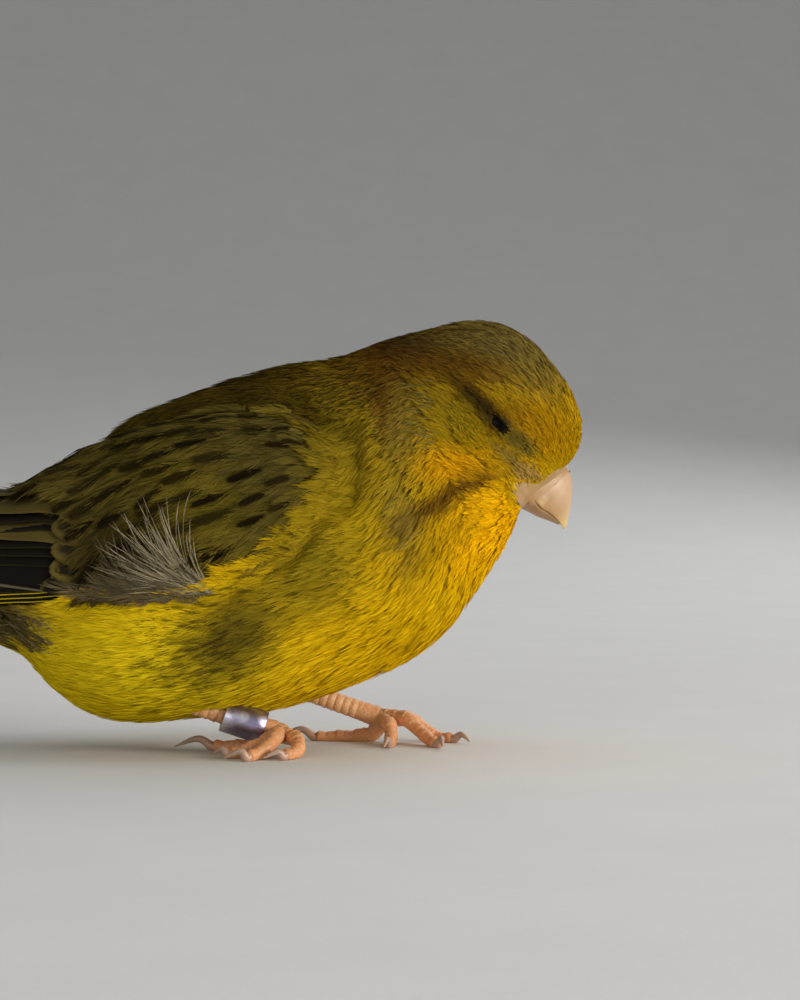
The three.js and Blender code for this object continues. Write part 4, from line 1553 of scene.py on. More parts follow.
    def _straight(self, roots: Array, headings: Array, lengths: Array) -> Shafts:
        """Lays almost straight shafts along the tail's root.

        Args:
            roots: where they grow.
            headings: the way they point.
            lengths: how long each is.

        Returns:
            The shafts.
        """
        middle = on_tail(SIZES.tail_start - SIZES.tail_gap - roots[:, 0], 0.0, 0.0)
        away = unit((roots - middle) * np.array([0.0, 1.0, 1.0]))
        part = np.linspace(0, 1, self.STRAIGHT_PLACES)
        points = roots[:, None] + headings[:, None] * (lengths[:, None] * part)[..., None]
        lift = 0.35 * np.sin(part * math.pi * 0.75) - 0.3
        points = points + away[:, None] * lift[None, :, None]
        return Shafts(points, np.repeat(away[:, None], self.STRAIGHT_PLACES, axis=1))


# The folded wings and the tail


@dataclass(frozen=True)
class FeatherRow:
    """A row of long feathers on the folded wing.

    Args:
        count: how many there are.
        roots: length and turn of the lowest and the highest root.
        tips: length and turn of the lowest and the highest tip.
        half: half the width of a feather.
        sink: how deep the roots lie.
        slope: how far the upper edge is tucked in.
        tone: the colour of the vane.
        edge: the colour of its rim.
        rim: how strongly the rim shows.
        streak: how strongly the middle is darkened.
        blunt: how round the tip is.
        bulge: how far the middle feathers reach beyond the others.
    """

    count: int
    roots: tuple[Pair, Pair]
    tips: tuple[Pair, Pair]
    half: float
    sink: float
    slope: float
    tone: Tone
    edge: Tone
    rim: float
    streak: float = 0.0
    blunt: float = 9.0
    bulge: float = 0.0


FLIGHT_ROWS = (
    FeatherRow(3, ((11, -13.5), (11.5, -10)), ((-37, 16), (-36, 21)), 1.5, 0.7, 0.3,
               Tone.SOOT, Tone.LEMON, 0.9),
    FeatherRow(6, ((10, -8), (11, -1)), ((-35, 25), (-21, 42)), 1.8, 0.65, 0.3,
               Tone.SOOT, Tone.TEAK, 0.25, bulge=-1.0),
    FeatherRow(6, ((11, -1), (13, 18)), ((-20, 42), (-15, 60)), 2.0, 0.6, 0.3,
               Tone.SOOT, Tone.TEAK, 0.2),
    FeatherRow(1, ((9, -10), (9, -10)), ((-15, 36), (-15, 36)), 2.7, 0.42, 0.12,
               Tone.SOOT, Tone.SILVER, 0.5, 0.0, 8.0),
    FeatherRow(3, ((13, 8), (13.5, 38)), ((-14, 60), (-7, 76)), 3.0, 0.45, 0.2,
               Tone.TEAK, Tone.HOARY, 0.8, 0.9, 6.0),
    FeatherRow(4, ((13, -9), (14, -3)), ((2, -7), (4, 0)), 1.0, 0.45, 0.25,
               Tone.SOOT, Tone.MOSS, 0.4, 0.0, 6.0),
    FeatherRow(6, ((14, -1), (14.5, 38)), ((3.2, 1), (3.6, 46)), 2.2, 0.40, 0.2,
               Tone.TEAK, Tone.HOARY, 0.25, 0.9, 5.0),
)


class FoldedWing:
    """The surface of the right wing, by length and turn."""

    X_STEP = 0.5
    TURN_STEP = 2.0
    INNER = 1.001
    NEAREST = -0.25
    ROOT_DEPTH = 3.1
    TIP_DEPTH = 1.3

    def __init__(self, field: BirdField) -> None:
        """Measures how far the wing's underside lies from its middle line.

        Args:
            field: the body's distances.
        """
        self.field = field
        self.xs = np.arange(-46, 40, self.X_STEP)
        self.turns = np.arange(-64, 116, self.TURN_STEP)
        x, turn = np.meshgrid(self.xs, self.turns, indexing="ij")
        self.radius = field.reach(field.wing, self._origin(x), self._ray(turn))

    def _origin(self, x: Array) -> Array:
        """Gives places on the middle line."""
        return np.stack([x, np.zeros_like(x), self.field.line_height(x)], axis=-1)

    @staticmethod
    def _ray(turn: Array) -> Array:
        """Gives directions across the wing."""
        angle = np.radians(turn)
        return np.stack([np.zeros_like(angle), -np.cos(angle), np.sin(angle)], axis=-1)

    def reach(self, x: Array, turn: Array) -> Array:
        """Reads how far the underside lies from the middle line.

        Args:
            x: places along the bird.
            turn: degrees up from level.

        Returns:
            The distances.
        """
        i = np.clip((x - self.xs[0]) / self.X_STEP, 0, len(self.xs) - self.INNER)
        j = np.clip((turn - self.turns[0]) / self.TURN_STEP, 0, len(self.turns) - self.INNER)
        i0 = i.astype(int)
        j0 = j.astype(int)
        i_part = i - i0
        j_part = j - j0
        low = self.radius[i0, j0] * (1 - j_part) + self.radius[i0, j0 + 1] * j_part
        high = self.radius[i0 + 1, j0] * (1 - j_part) + self.radius[i0 + 1, j0 + 1] * j_part
        return low * (1 - i_part) + high * i_part

    def place(self, x: Array, turn: Array, lift: Array) -> Array:
        """Gives points on the wing.

        Args:
            x: places along the bird.
            turn: degrees up from level.
            lift: how far off the underside.

        Returns:
            The points.
        """
        x, turn, lift = np.broadcast_arrays(np.asarray(x, float), np.asarray(turn, float), lift)
        out = self.reach(x, turn) + lift
        points = self._origin(x) + self._ray(turn) * out[..., None]
        points[..., 1] = np.minimum(points[..., 1], self.NEAREST)
        return points

    def depth(self, x: Array, turn: Array) -> Array:
        """Gives how thick the folded wing is.

        Args:
            x: places along the bird.
            turn: degrees up from level.

        Returns:
            The thickness.
        """
        back = np.clip((SIZES.wing_front - x) / (SIZES.wing_front - SIZES.wing_tip), 0, 1)
        front = smoothstep(SIZES.wing_front - x, -2, 8)
        arm = smoothstep(x, -6, 8)
        to_edge = np.minimum(turn - along_table(LOWER_EDGE, x), along_table(UPPER_EDGE, x) - turn)
        edge = 0.35 + 0.65 * smoothstep(to_edge, -6, 18)
        full = self.ROOT_DEPTH + (self.TIP_DEPTH - self.ROOT_DEPTH) * back ** 0.7
        ridge = smoothstep(turn, 44, 72) * smoothstep(6.5 - x, 0, 4) * smoothstep(x, -5, -1)
        return full * (0.55 + 0.45 * front) * (1 + (edge - 1) * arm) * (1 - 0.75 * ridge)

    def turn_of(self, points: Array) -> Array:
        """Gives how many degrees up from level points on the right side lie."""
        height = points[..., 2] - self.field.line_height(points[..., 0])
        return np.degrees(np.arctan2(height, -points[..., 1]))

    def top(self, points: Array) -> Array:
        """Distance to the wing's outer surface."""
        return self.field.wing(points) - self.depth(points[..., 0], self.turn_of(points))


WING = FoldedWing(FIELD)


class LongFeathers:
    """Builds long feathers as thin closed vanes."""

    ROWS = 26
    COLUMNS = 9
    THICK = 0.14
    SHAFT_MIDDLE = -0.15
    SHAFT_HALF = 0.12
    SHAFT_RISE = 0.07
    TIP_SHARE = 0.35
    LEAST_LIFT = 0.5
    BAKE_PATCH = (0.012, 0.05)
    ALONG = np.linspace(0, 1, ROWS)[:, None]
    ACROSS = np.linspace(-1, 1, COLUMNS)[None, :]
    TAIL_PAIRS = 6
    TAIL_HALF = 2.45
    TAIL_BLUNT = 10.0
    TAIL_START = 5.0
    TAIL_OUTWARD = unit(np.array([-0.12, 0.0, 1.0]))

    def __init__(self, seed: int) -> None:
        """Starts the chance."""
        self.rng = np.random.default_rng(seed)

    @staticmethod
    def outline(part: Array, blunt: float) -> Array:
        """Gives a long feather's half width, as a share of its widest."""
        return 0.45 + 0.55 * np.sin(np.pi * np.minimum(0.5, part * 0.9)) - 0.9 * part ** blunt

    def vane(self, top: Array, outward: Array, tone: Array, edge: Array, mark: Array) -> MeshArrays:
        """Closes a grid of points to a thin vane with a raised shaft.

        Args:
            top: the points of its outer face, rows by columns.
            outward: the outward directions there.
            tone: its colour.
            edge: its rim's colour.
            mark: streak, rim and chance.

        Returns:
            The mesh.
        """
        rows, columns = top.shape[:2]
        across = np.linspace(-1, 1, columns)
        shaft = np.exp(-((across - self.SHAFT_MIDDLE) / self.SHAFT_HALF) ** 2) * self.SHAFT_RISE
        taper = np.linspace(1, self.TIP_SHARE, rows)[:, None]
        upper = top + outward * (shaft[None, :] * taper)[..., None]
        thin = self.THICK * taper * (1 - 0.8 * np.abs(across[None, :]) ** 4)
        lower = top - outward * thin[..., None]
        faces = grid_faces(rows, columns, False)
        count = rows * columns
        other = faces[:, ::-1] + count
        i = np.arange(rows) * columns
        rim = np.concatenate([
            i, (rows - 1) * columns + np.arange(1, columns),
            i[::-1][1:] + columns - 1, np.arange(columns - 2, 0, -1),
        ])
        after = np.roll(rim, -1)
        sides = np.vstack([
            np.stack([rim, after + count, after], axis=1),
            np.stack([rim, rim + count, after + count], axis=1),
        ])
        uv = np.vstack([grid_map(rows, columns)] * 2)
        points = np.vstack([upper.reshape(-1, 3), lower.reshape(-1, 3)])
        root = np.array([self.rng.uniform(0.02, 0.98), self.rng.uniform(0.05, 0.95)])
        patch = (uv - 0.5) * np.array(self.BAKE_PATCH)
        size = len(points)
        return MeshArrays(
            points,
            np.vstack([faces, other, sides]),
            np.tile(tone, (size, 1)),
            np.tile(edge, (size, 1)),
            np.tile(mark, (size, 1)),
            uv,
            np.clip(root + patch, 0.001, 0.999),
        )

    def wing_row(self, row: FeatherRow) -> list[MeshArrays]:
        """Builds a row of feathers on the right wing.

        Args:
            row: the row.

        Returns:
            One mesh for each feather.
        """
        feathers = []
        along, across = self.ALONG, self.ACROSS
        for index in range(row.count):
            part = index / max(1, row.count - 1)
            start = [a + (b - a) * part for a, b in zip(*row.roots)]
            end = [a + (b - a) * part for a, b in zip(*row.tips)]
            end[0] += row.bulge * math.sin(math.pi * min(1.0, part * 1.6)) + self.rng.normal(0, 0.25)
            end[1] += self.rng.normal(0, 0.6)
            x = start[0] + (end[0] - start[0]) * along
            turn = start[1] + (end[1] - start[1]) * along
            half = row.half * self.outline(along, row.blunt)
            reach = np.maximum(2.5, WING.reach(x, turn))
            turn_here = turn + np.degrees(across * half / reach)
            x_here = x - 0.35 * half * across ** 2 * along
            lift = WING.depth(x_here, turn_here) - row.sink * (1 - along)
            lift = lift - row.slope * half * (across + 1) + 0.02 * self.rng.normal()
            points = WING.place(x_here, turn_here, np.maximum(lift, self.LEAST_LIFT))
            outward = FIELD.outward(FIELD.wing, points)
            shade = self.rng.uniform(0.8, 1.25)
            feathers.append(self.vane(
                points, outward, row.tone.colour * shade, row.edge.colour,
                np.array([row.streak, row.rim, self.rng.random()]),
            ))
        return feathers

    def tail(self) -> list[MeshArrays]:
        """Builds the twelve feathers of the tail.

        Returns:
            One mesh for each feather.
        """
        feathers = []
        along, across = self.ALONG, self.ACROSS
        for pair in range(self.TAIL_PAIRS):
            for side in Side:
                shorter = 0.7 if pair == self.TAIL_PAIRS - 1 else 0
                end = SIZES.tail_length - 3 + 0.6 * pair - shorter
                half = self.TAIL_HALF * self.outline(along, self.TAIL_BLUNT)
                middle = side.value * (0.5 + 0.4 * pair) + side.value * (0.6 + 0.62 * pair) * along
                place = middle + across * half * side.value
                height = 1.05 - 0.3 * pair - (0.1 if side is Side.LEFT else 0) - 0.5 * along
                height = height - 0.07 * np.abs(place)
                length = self.TAIL_START + (end - self.TAIL_START) * along
                points = on_tail(length - 0.4 * half * across ** 2 * along, place, height)
                outward = np.broadcast_to(self.TAIL_OUTWARD, points.shape)
                feathers.append(self.vane(
                    points, outward, Tone.SOOT.colour * self.rng.uniform(0.9, 1.4), Tone.MOSS.colour,
                    np.array([0.0, 0.8, self.rng.random()]),
                ))
        return feathers


@dataclass(frozen=True)
class CovertSizes:
    """How the small feathers over the wing are set."""

    front_clear: float = 2.5
    edge_clear: float = 1.2
    row_step: float = 2.8
    across_step: float = 2.35
    back_low: float = 9.0
    back_high: float = 3.0
    streaked: PlumeStyle = PlumeStyle(8.0, 3.3, 52, 0.10, 5, 0.66, 0.04)
    plain: PlumeStyle = PlumeStyle(6.6, 2.6, 32, 0.11, 4, 0.58, 0.04)
    plain_density: float = 0.8
    plain_tries: int = 9000
    plain_turns: Pair = (-40, 95)


def covert_heading(points: Array) -> Array:
    """Gives how the small wing feathers point, as the side view shows it.

    Args:
        points: places in millimetres.

    Returns:
        Directions in the plane of the bird's length and height.
    """
    low = smoothstep(40 - points[..., 2], 0, 18)
    back = smoothstep(26 - points[..., 0], 0, 20)
    fall = np.radians(8 + 24 * low + 14 * back * low + 8 * back)
    rear = smoothstep(8 - points[..., 0], -4, 8) * smoothstep(points[..., 2], 26, 30)
    fall = fall * (1 - 0.6 * rear)
    return np.stack([-np.cos(fall), np.zeros_like(fall), -np.sin(fall)], axis=-1)


def wing_tone(points: Array) -> Array:
    """Gives the colour of the small wing feathers, whose ground is kept a little darker than their own
    colour as painted shade over the wing.
    """
    return painted(Tone.TEAK, WING_MARKINGS, points)


class WingCoat:
    """Grows the small feathers over the right wing."""

    SWAY = 6
    ROOT_DEPTH = 0.7
    ROOT_LEVEL = -0.75
    RIM = 0.5
    PLAIN_LEVEL = -0.22

    def __init__(self, sizes: CovertSizes) -> None:
        """Keeps the sizes."""
        self.sizes = sizes

    def _lay(self, coat: PlumeCoat, x: Array, turn: Array, streak: float, level: float) -> MeshArrays:
        """Lays feathers from given roots.

        Args:
            coat: builds the feathers.
            x: the roots' places along the bird.
            turn: the roots' turns.
            streak: how dark their centres are.
            level: how far their tips stand off the wing.

        Returns:
            The mesh.
        """
        rng = coat.rng
        count = len(x)
        roots = WING.place(x, turn, WING.depth(x, turn) - self.ROOT_DEPTH)
        normals = FIELD.outward(WING.top, roots)
        headings = swayed(covert_heading(roots), normals, rng.normal(0, self.SWAY, count))
        size = rng.uniform(0.85, 1.15, count) * (0.5 + 0.5 * smoothstep(SIZES.wing_front - x, 0, 11))
        shafts = Shafts.laid(
            WING.top, roots, headings, coat.style.length * size,
            np.full(count, self.ROOT_LEVEL), rng.normal(level, 0.04, count),
        )
        tone = wing_tone(shafts.points[:, 2]) * rng.normal(1, 0.12, count)[:, None]
        streaks = streak * rng.uniform(0.8, 1.0, count)
        mark = np.stack([streaks, np.full(count, self.RIM), rng.random(count)], axis=1)
        width = coat.style.width * size * rng.uniform(0.9, 1.1, count)
        bake = inset(np.stack([
            (turn - WING.turns[0]) / (WING.turns[-1] - WING.turns[0]),
            (x - WING.xs[0]) / (WING.xs[-1] - WING.xs[0]),
        ], axis=1))
        return coat.build(shafts, width, np.clip(tone, 0, 1), np.clip(tone * 1.5, 0, 1), mark, bake)

    def streaked(self, seed: int) -> MeshArrays:
        """Sets the feathers with dark centres, in rows.

        Args:
            seed: starts the chance.

        Returns:
            The mesh.
        """
        sizes = self.sizes
        coat = PlumeCoat(sizes.streaked, seed)
        places = []
        rows = [sizes.back_high]
        while rows[-1] < SIZES.wing_front:
            spread = 0.55 + 0.45 * float(smoothstep(SIZES.wing_front - rows[-1], 0, 11))
            rows.append(rows[-1] + sizes.row_step * spread)
        for row, x in enumerate(rows):
            low = float(along_table(LOWER_EDGE, x)) + 14
            high = float(along_table(UPPER_EDGE, x)) + 4
            reach = float(WING.reach(np.array(x), np.array((low + high) / 2)))
            step = math.degrees(sizes.across_step / reach)
            for turn in np.arange(low + (row % 2) * step / 2, high, step):
                places.append((x, turn))
        x, turn = np.array(places).T
        x = x + coat.rng.normal(0, 0.45, len(x))
        turn = turn + coat.rng.normal(0, 1.3, len(x))
        keep = (coat.rng.random(len(x)) < self._streak_strength(x, turn)) & self._in_coverts(x, turn)
        roots = WING.place(x, turn, WING.depth(x, turn))
        tips = roots + covert_heading(roots) * coat.style.length
        edge = along_table(LOWER_EDGE, tips[:, 0])
        edge = WING.place(tips[:, 0], edge, WING.depth(tips[:, 0], edge))
        keep = keep & (x < SIZES.wing_front - sizes.front_clear)
        keep = keep & (tips[:, 2] > edge[:, 2] + sizes.edge_clear)
        return self._lay(coat, x[keep], turn[keep], 1.0, 0.0)

    def _in_coverts(self, x: Array, turn: Array) -> Array:
        """Tells where small feathers may grow, clear of the long ones.

        Args:
            x: places along the bird.
            turn: their turns.

        Returns:
            True where they may.
        """
        sizes = self.sizes
        high = smoothstep(turn, 28, 62)
        return x > sizes.back_low + (sizes.back_high - sizes.back_low) * high

    @staticmethod
    def _streak_strength(x: Array, turn: Array) -> Array:
        """Gives the share of feathers that are streaked, from 0 to 1."""
        yellow = np.exp(-((x - 20) / 4.5) ** 2 - ((turn - 14) / 12) ** 2)
        return 1 - 0.55 * yellow

    def plain(self, seed: int) -> MeshArrays:
        """Sets the feathers between and under the streaked ones.

        Args:
            seed: starts the chance.

        Returns:
            The mesh.
        """
        sizes = self.sizes
        coat = PlumeCoat(sizes.plain, seed)
        rng = coat.rng
        tries = sizes.plain_tries
        lowest, highest = sizes.plain_turns
        x = rng.uniform(sizes.back_high, SIZES.wing_front, tries)
        turn = rng.uniform(lowest, highest, tries)
        low = np.where(x < 22, 12, 4)
        inside = (turn > along_table(LOWER_EDGE, x) + low) & (turn < along_table(UPPER_EDGE, x) + 6)
        inside = inside & self._in_coverts(x, turn)
        reach = WING.reach(x, turn)
        rate = sizes.plain_density * (SIZES.wing_front - sizes.back_high)
        rate = rate * np.radians(highest - lowest) * reach / tries
        keep = inside & (rng.random(tries) < rate)
        return self._lay(coat, x[keep], turn[keep], 0.0, self.PLAIN_LEVEL)


# Skin, eyes, bill, legs and feet


def plain_arrays(points: Array, faces: Array, tone: Array, uv: Array) -> MeshArrays:
    """Wraps a mesh without markings, whose bake map is its own map."""
    tones = np.broadcast_to(tone, points.shape)
    return MeshArrays(points, faces, tones, tones, np.zeros(points.shape), uv, inset(np.clip(uv, 0, 1)))


def tube_arrays(rings: Array, tone: Array, ends: bool = True) -> MeshArrays:
    """Skins rings of points, as a rule with both ends closed.

    Args:
        rings: rings by points by three.
        tone: the colour, for all, for each ring or for each point of a ring.
        ends: whether the ends are closed.

    Returns:
        The mesh.
    """
    rows, columns = rings.shape[:2]
    rings = np.concatenate([rings, rings[:, :1]], axis=1)
    faces = grid_faces(rows, columns + 1, False)
    uv = grid_map(rows, columns + 1)
    if np.ndim(tone) == 3:
        tones = np.concatenate([tone, tone[:, :1]], axis=1).reshape(-1, 3)
    else:
        tones = np.repeat(np.broadcast_to(tone, (rows, 3)), columns + 1, axis=0)
    points = rings.reshape(-1, 3)
    if ends:
        middles = np.array([rings[0, :-1].mean(axis=0), rings[-1, :-1].mean(axis=0)])
        first = len(points)
        points = np.vstack([points, middles])
        near = np.arange(columns)
        far = near + (rows - 1) * (columns + 1)
        faces = np.vstack([
            faces,
            np.stack([near, near + 1, np.full(columns, first)], axis=1),
            np.stack([far + 1, far, np.full(columns, first + 1)], axis=1),
        ])
        uv = np.vstack([uv, [[0.5, 0.0], [0.5, 1.0]]])
        tones = np.vstack([tones, tones[:1], tones[-1:]])
    return outward_faces(plain_arrays(points, faces, tones, uv))


def outward_faces(data: MeshArrays) -> MeshArrays:
    """Turns a closed mesh so that its faces look outward.

    Args:
        data: the mesh.

    Returns:
        The mesh with outward faces.
    """
    a, b, c = (data.points[data.faces[:, k]] for k in range(3))
    if np.sum(a * np.cross(b, c)) < 0:
        data.faces = data.faces[:, ::-1]
    return data


def facing(data: MeshArrays, way: Array) -> MeshArrays:
    """Turns an open mesh so that its first face looks a given way.

    Args:
        data: the mesh.
        way: the direction.

    Returns:
        The mesh.
    """
    a, b, c = data.points[data.faces[0]]
    if np.dot(np.cross(b - a, c - a), way) < 0:
        data.faces = data.faces[:, ::-1]
    return data


def ball_angles(rows: int, columns: int, gap: float) -> tuple[Array, Array]:
    """Gives the angles of a ball's rings."""
    polar = np.linspace(gap, math.pi - gap, rows)[:, None]
    return polar, np.linspace(0, 2 * math.pi, columns, endpoint=False)[None, :]


PATH_STEPS = 16


def smooth_path(points: Sequence[Sequence[float]], count: int) -> Array:
    """Draws an even, smooth path through points.

    Args:
        points: the places it passes.
        count: how many places it gives.

    Returns:
        The places.
    """
    line = catmull_rom(np.array(points, dtype=float), PATH_STEPS)
    length = np.concatenate([[0], np.cumsum(np.linalg.norm(np.diff(line, axis=0), axis=1))])
    even = np.linspace(0, length[-1], count)
    return np.stack([np.interp(even, length, line[:, k]) for k in range(line.shape[1])], axis=1)


def skin_arrays(grid: BodyGrid) -> MeshArrays:
    """Lays the one skin inside the coat by the coat's depth.

    Args:
        grid: the rings on the coat's surface.

    Returns:
        The mesh.
    """
    outer = grid.points
    normals = FIELD.outward(FIELD.body, outer)
    inner = outer - normals * coat_depth(outer)[..., None]
    return tube_arrays(inner, plumage_tone(outer))


class EyeBuilder:
    """Makes an eye and its lids.

    The lids' folds are given by the part of the way out from the opening, and by the distance from
    the eye's middle.
    """

    BALL = np.array([0.012, 0.006, 0.003])
    LID_RIM = np.array([0.007, 0.0045, 0.002])
    LID_SKIN = np.array([0.050, 0.034, 0.007])
    LID_FOLDS = (
        (0.0, 2.27), (0.04, 2.31), (0.1, 2.34), (0.18, 2.32), (0.27, 2.29), (0.36, 2.30),
        (0.46, 2.28), (0.56, 2.29), (0.66, 2.27), (0.76, 2.27), (0.88, 2.26), (1.0, 2.25),
    )

    def __init__(self, side: Side) -> None:
        """Finds the eye's middle and directions.

        Args:
            side: which eye.
        """
        self.middle = EYES[side]
        turn = math.radians(EYE_TURN)
        self.along = np.array([math.cos(turn), 0, math.sin(turn)])
        self.across = np.array([-math.sin(turn), 0, math.cos(turn)])
        self.look = np.array([0.0, float(side.value), 0.0])

    def ball(self) -> MeshArrays:
        """Builds the eyeball.

        Returns:
            The mesh.
        """
        polar, angle = ball_angles(28, 40, 0.02)
        flat = np.sin(polar) * SIZES.eye_radius
        rings = self.middle + (
            self.look * (np.cos(polar) * SIZES.eye_radius + 0 * angle)[..., None]
            + self.along * (flat * np.cos(angle))[..., None]
            + self.across * (flat * np.sin(angle))[..., None]
        )
        return tube_arrays(rings, self.BALL)

    def lids(self) -> MeshArrays:
        """Builds the lids as one ring round an almond opening.

        Returns:
            The mesh.
        """
        angle = np.linspace(0, 2 * math.pi, 64, endpoint=False)
        wide = 1.5 * np.cos(angle)
        high = np.sin(angle) * np.abs(np.sin(angle)) ** 0.4
        high = np.where(high > 0, 0.44 * high, 0.40 * high) - 0.08 * (1 - np.cos(angle) ** 2)
        far_wide = 2.0 * np.cos(angle)
        far_high = 1.45 * np.sin(angle)
        rings = []
        for part, radius in self.LID_FOLDS:
            flat_x = wide + (far_wide - wide) * part
            flat_y = high + (far_high - high) * part
            out = np.sqrt(np.maximum(0.2, radius ** 2 - (flat_x ** 2 + flat_y ** 2)))
            rings.append(
                self.middle + self.along * flat_x[:, None] + self.across * flat_y[:, None]
                + self.look * out[:, None]
            )
        part = np.array(self.LID_FOLDS)[:, :1]
        tone = self.LID_RIM + (self.LID_SKIN - self.LID_RIM) * smoothstep(part, 0.10, 0.5)
        data = tube_arrays(np.array(rings), tone, ends=False)
        return facing(data, data.points[data.faces[-1, 0]] - self.middle)


class BillBuilder:
    """Makes the two halves of the bill and the bare corners of the mouth."""

    AROUND = 44
    ROWS = 34
    RIDGE = ((-0.9, 3.5), (0.1, 3.45), (1.8, 2.6), (3.4, 0.98), (4.5, -0.5), (5.0, -1.2))
    EDGE_AHEAD = (-1.0, 0.2, 0.9, 1.5, 2.1, 3.0, 4.0, 5.0)
    EDGE_UP = (-2.35, -2.15, -2.02, -2.05, -1.75, -1.5, -1.38, -1.5)
    LOW_AHEAD = (-1.0, 0.15, 2.0, 3.1, 4.2)
    LOW_UP = (-3.5, -3.45, -2.75, -2.15, -1.62)
    UPPER_LENGTH = 5.0
    LOWER_LENGTH = 4.2
    WIDEST = 0.10
    FLESH = np.array([0.42, 0.240, 0.100])
    PALE = np.array([0.51, 0.325, 0.185])
    TIP = np.array([0.58, 0.41, 0.16])
    # Pale cream for the painted highlight on the bill's knob.
    KNOB_HIGHLIGHT = np.array([0.62, 0.44, 0.20])
    GAPE = np.array([0.30, 0.20, 0.060])
    CORNER_GRID = (48, 26)
    CORNER_FRONT = 0.7

    def _section(self, ahead: float, top: float, low: float, half: float, peak: int) -> Array:
        """Builds one section across a half of the bill.

        Args:
            ahead: its place along the bill.
            top: how high it reaches.
            low: how low it reaches.
            half: half its width.
            peak: 1 where the ridge is above, -1 where it is below.

        Returns:
            The points.
        """
        angle = np.linspace(0, 2 * math.pi, self.AROUND, endpoint=False)
        up = np.cos(angle) * peak
        side = np.sin(angle)
        narrow = 1 - 0.2 * np.clip(up, 0, 1)
        rim, crest = (low, top) if peak > 0 else (top, low)
        widest = rim + self.WIDEST * (crest - rim)
        squared = up < 0
        rise = np.where(squared, -np.abs(up) ** 0.45 * (widest - rim), up * (crest - widest))
        side = np.where(squared, np.sign(side) * np.abs(side) ** 0.45, side)
        return on_bill(np.full(angle.shape, ahead), widest + rise, -side * half * narrow)

    def _side(self, ahead: Array, up: Array) -> Array:
        """Gives how far the horn reaches to the side.

        Args:
            ahead: places along the bill.
            up: places above its middle line.

        Returns:
            The distances from the middle line.
        """
        ridge = smooth_path(self.RIDGE, self.ROWS)
        edge = np.interp(ahead, self.EDGE_AHEAD, self.EDGE_UP)
        top = np.interp(ahead, ridge[:, 0], ridge[:, 1])
        crest = np.where(up > edge, top, np.interp(ahead, self.LOW_AHEAD, self.LOW_UP))
        widest = edge + self.WIDEST * (crest - edge)
        level = np.clip((up - widest) / (crest - widest), 0, 1)
        half = SIZES.bill_width / 2 * np.clip(1 - ahead / self.UPPER_LENGTH, 0, 1) ** 0.75 + 0.12
        return half * (1 - 0.2 * level) * np.sqrt(1 - level ** 2)

    def upper(self) -> MeshArrays:
        """Builds the upper half, with its nostrils as small pits.

        Returns:
            The mesh.
        """
        ridge = smooth_path(self.RIDGE, self.ROWS)
        rings = []
        tones = []
        for x, top in ridge:
            part = max(0.0, x / self.UPPER_LENGTH)
            low = min(float(np.interp(x, self.EDGE_AHEAD, self.EDGE_UP)), top - 0.22)
            half = SIZES.bill_width / 2 * max(0.0, 1 - part) ** 0.75 + 0.12
            rings.append(self._section(x, top, low, half, 1))
            level = (bill_frame(rings[-1])[1] - low) / (top - low)
            tones.append(self._tone(part, level[:, None]))
        rings = np.array(rings)
        tones = np.array(tones)
        for side in Side:
            pit = on_bill(0.8, 1.2, side.value * 2.6)
            away = np.linalg.norm(rings - pit, axis=-1)
            outward = np.array([0.0, float(side.value), 0.0])
            rings = rings - outward * (0.2 * np.exp(-(away / 0.4) ** 2))[..., None]
            # The knob is raised, and the pale cream patch painted on it is a painted highlight.
            knob = on_bill(0.97, -1.45, side.value * 2.75)
            away = np.linalg.norm((rings - knob) / np.array([1.2, 1.0, 0.8]), axis=-1)
            rings = rings + outward * (0.24 * np.exp(-(away / 0.5) ** 2))[..., None]
            tones = tones + (self.KNOB_HIGHLIGHT - tones) * (0.8 * np.exp(-(away / 0.55) ** 4))[..., None]
        return tube_arrays(rings, tones)

    def _tone(self, part: float, level: Array) -> Array:
        """Gives the horn's colour by its part of the length and its level up the side."""
        horn = self.FLESH + (self.PALE - self.FLESH) * smoothstep(level, 0.2, 0.95)
        return horn + (self.TIP - horn) * smoothstep(np.array(part), 0.6, 1.0)

    def lower(self) -> MeshArrays:
        """Builds the lower half, tucked under the rim of the upper half.

        Returns:
            The mesh.
        """
        rings = []
        tones = []
        for x in np.linspace(-0.9, self.LOWER_LENGTH, self.ROWS):
            part = max(0.0, x / self.LOWER_LENGTH)
            top = float(np.interp(x, self.EDGE_AHEAD, self.EDGE_UP)) + 0.12 - 0.1 * part
            low = float(np.interp(x, self.LOW_AHEAD, self.LOW_UP))
            half = SIZES.bill_width / 2 * 0.975 * (1 - part) ** 0.68 + 0.12
            rings.append(self._section(x, top, low, half, -1))
            tones.append(self._tone(part * 0.8, np.zeros(1)) * 0.95)
        return tube_arrays(np.array(rings), np.array(tones))

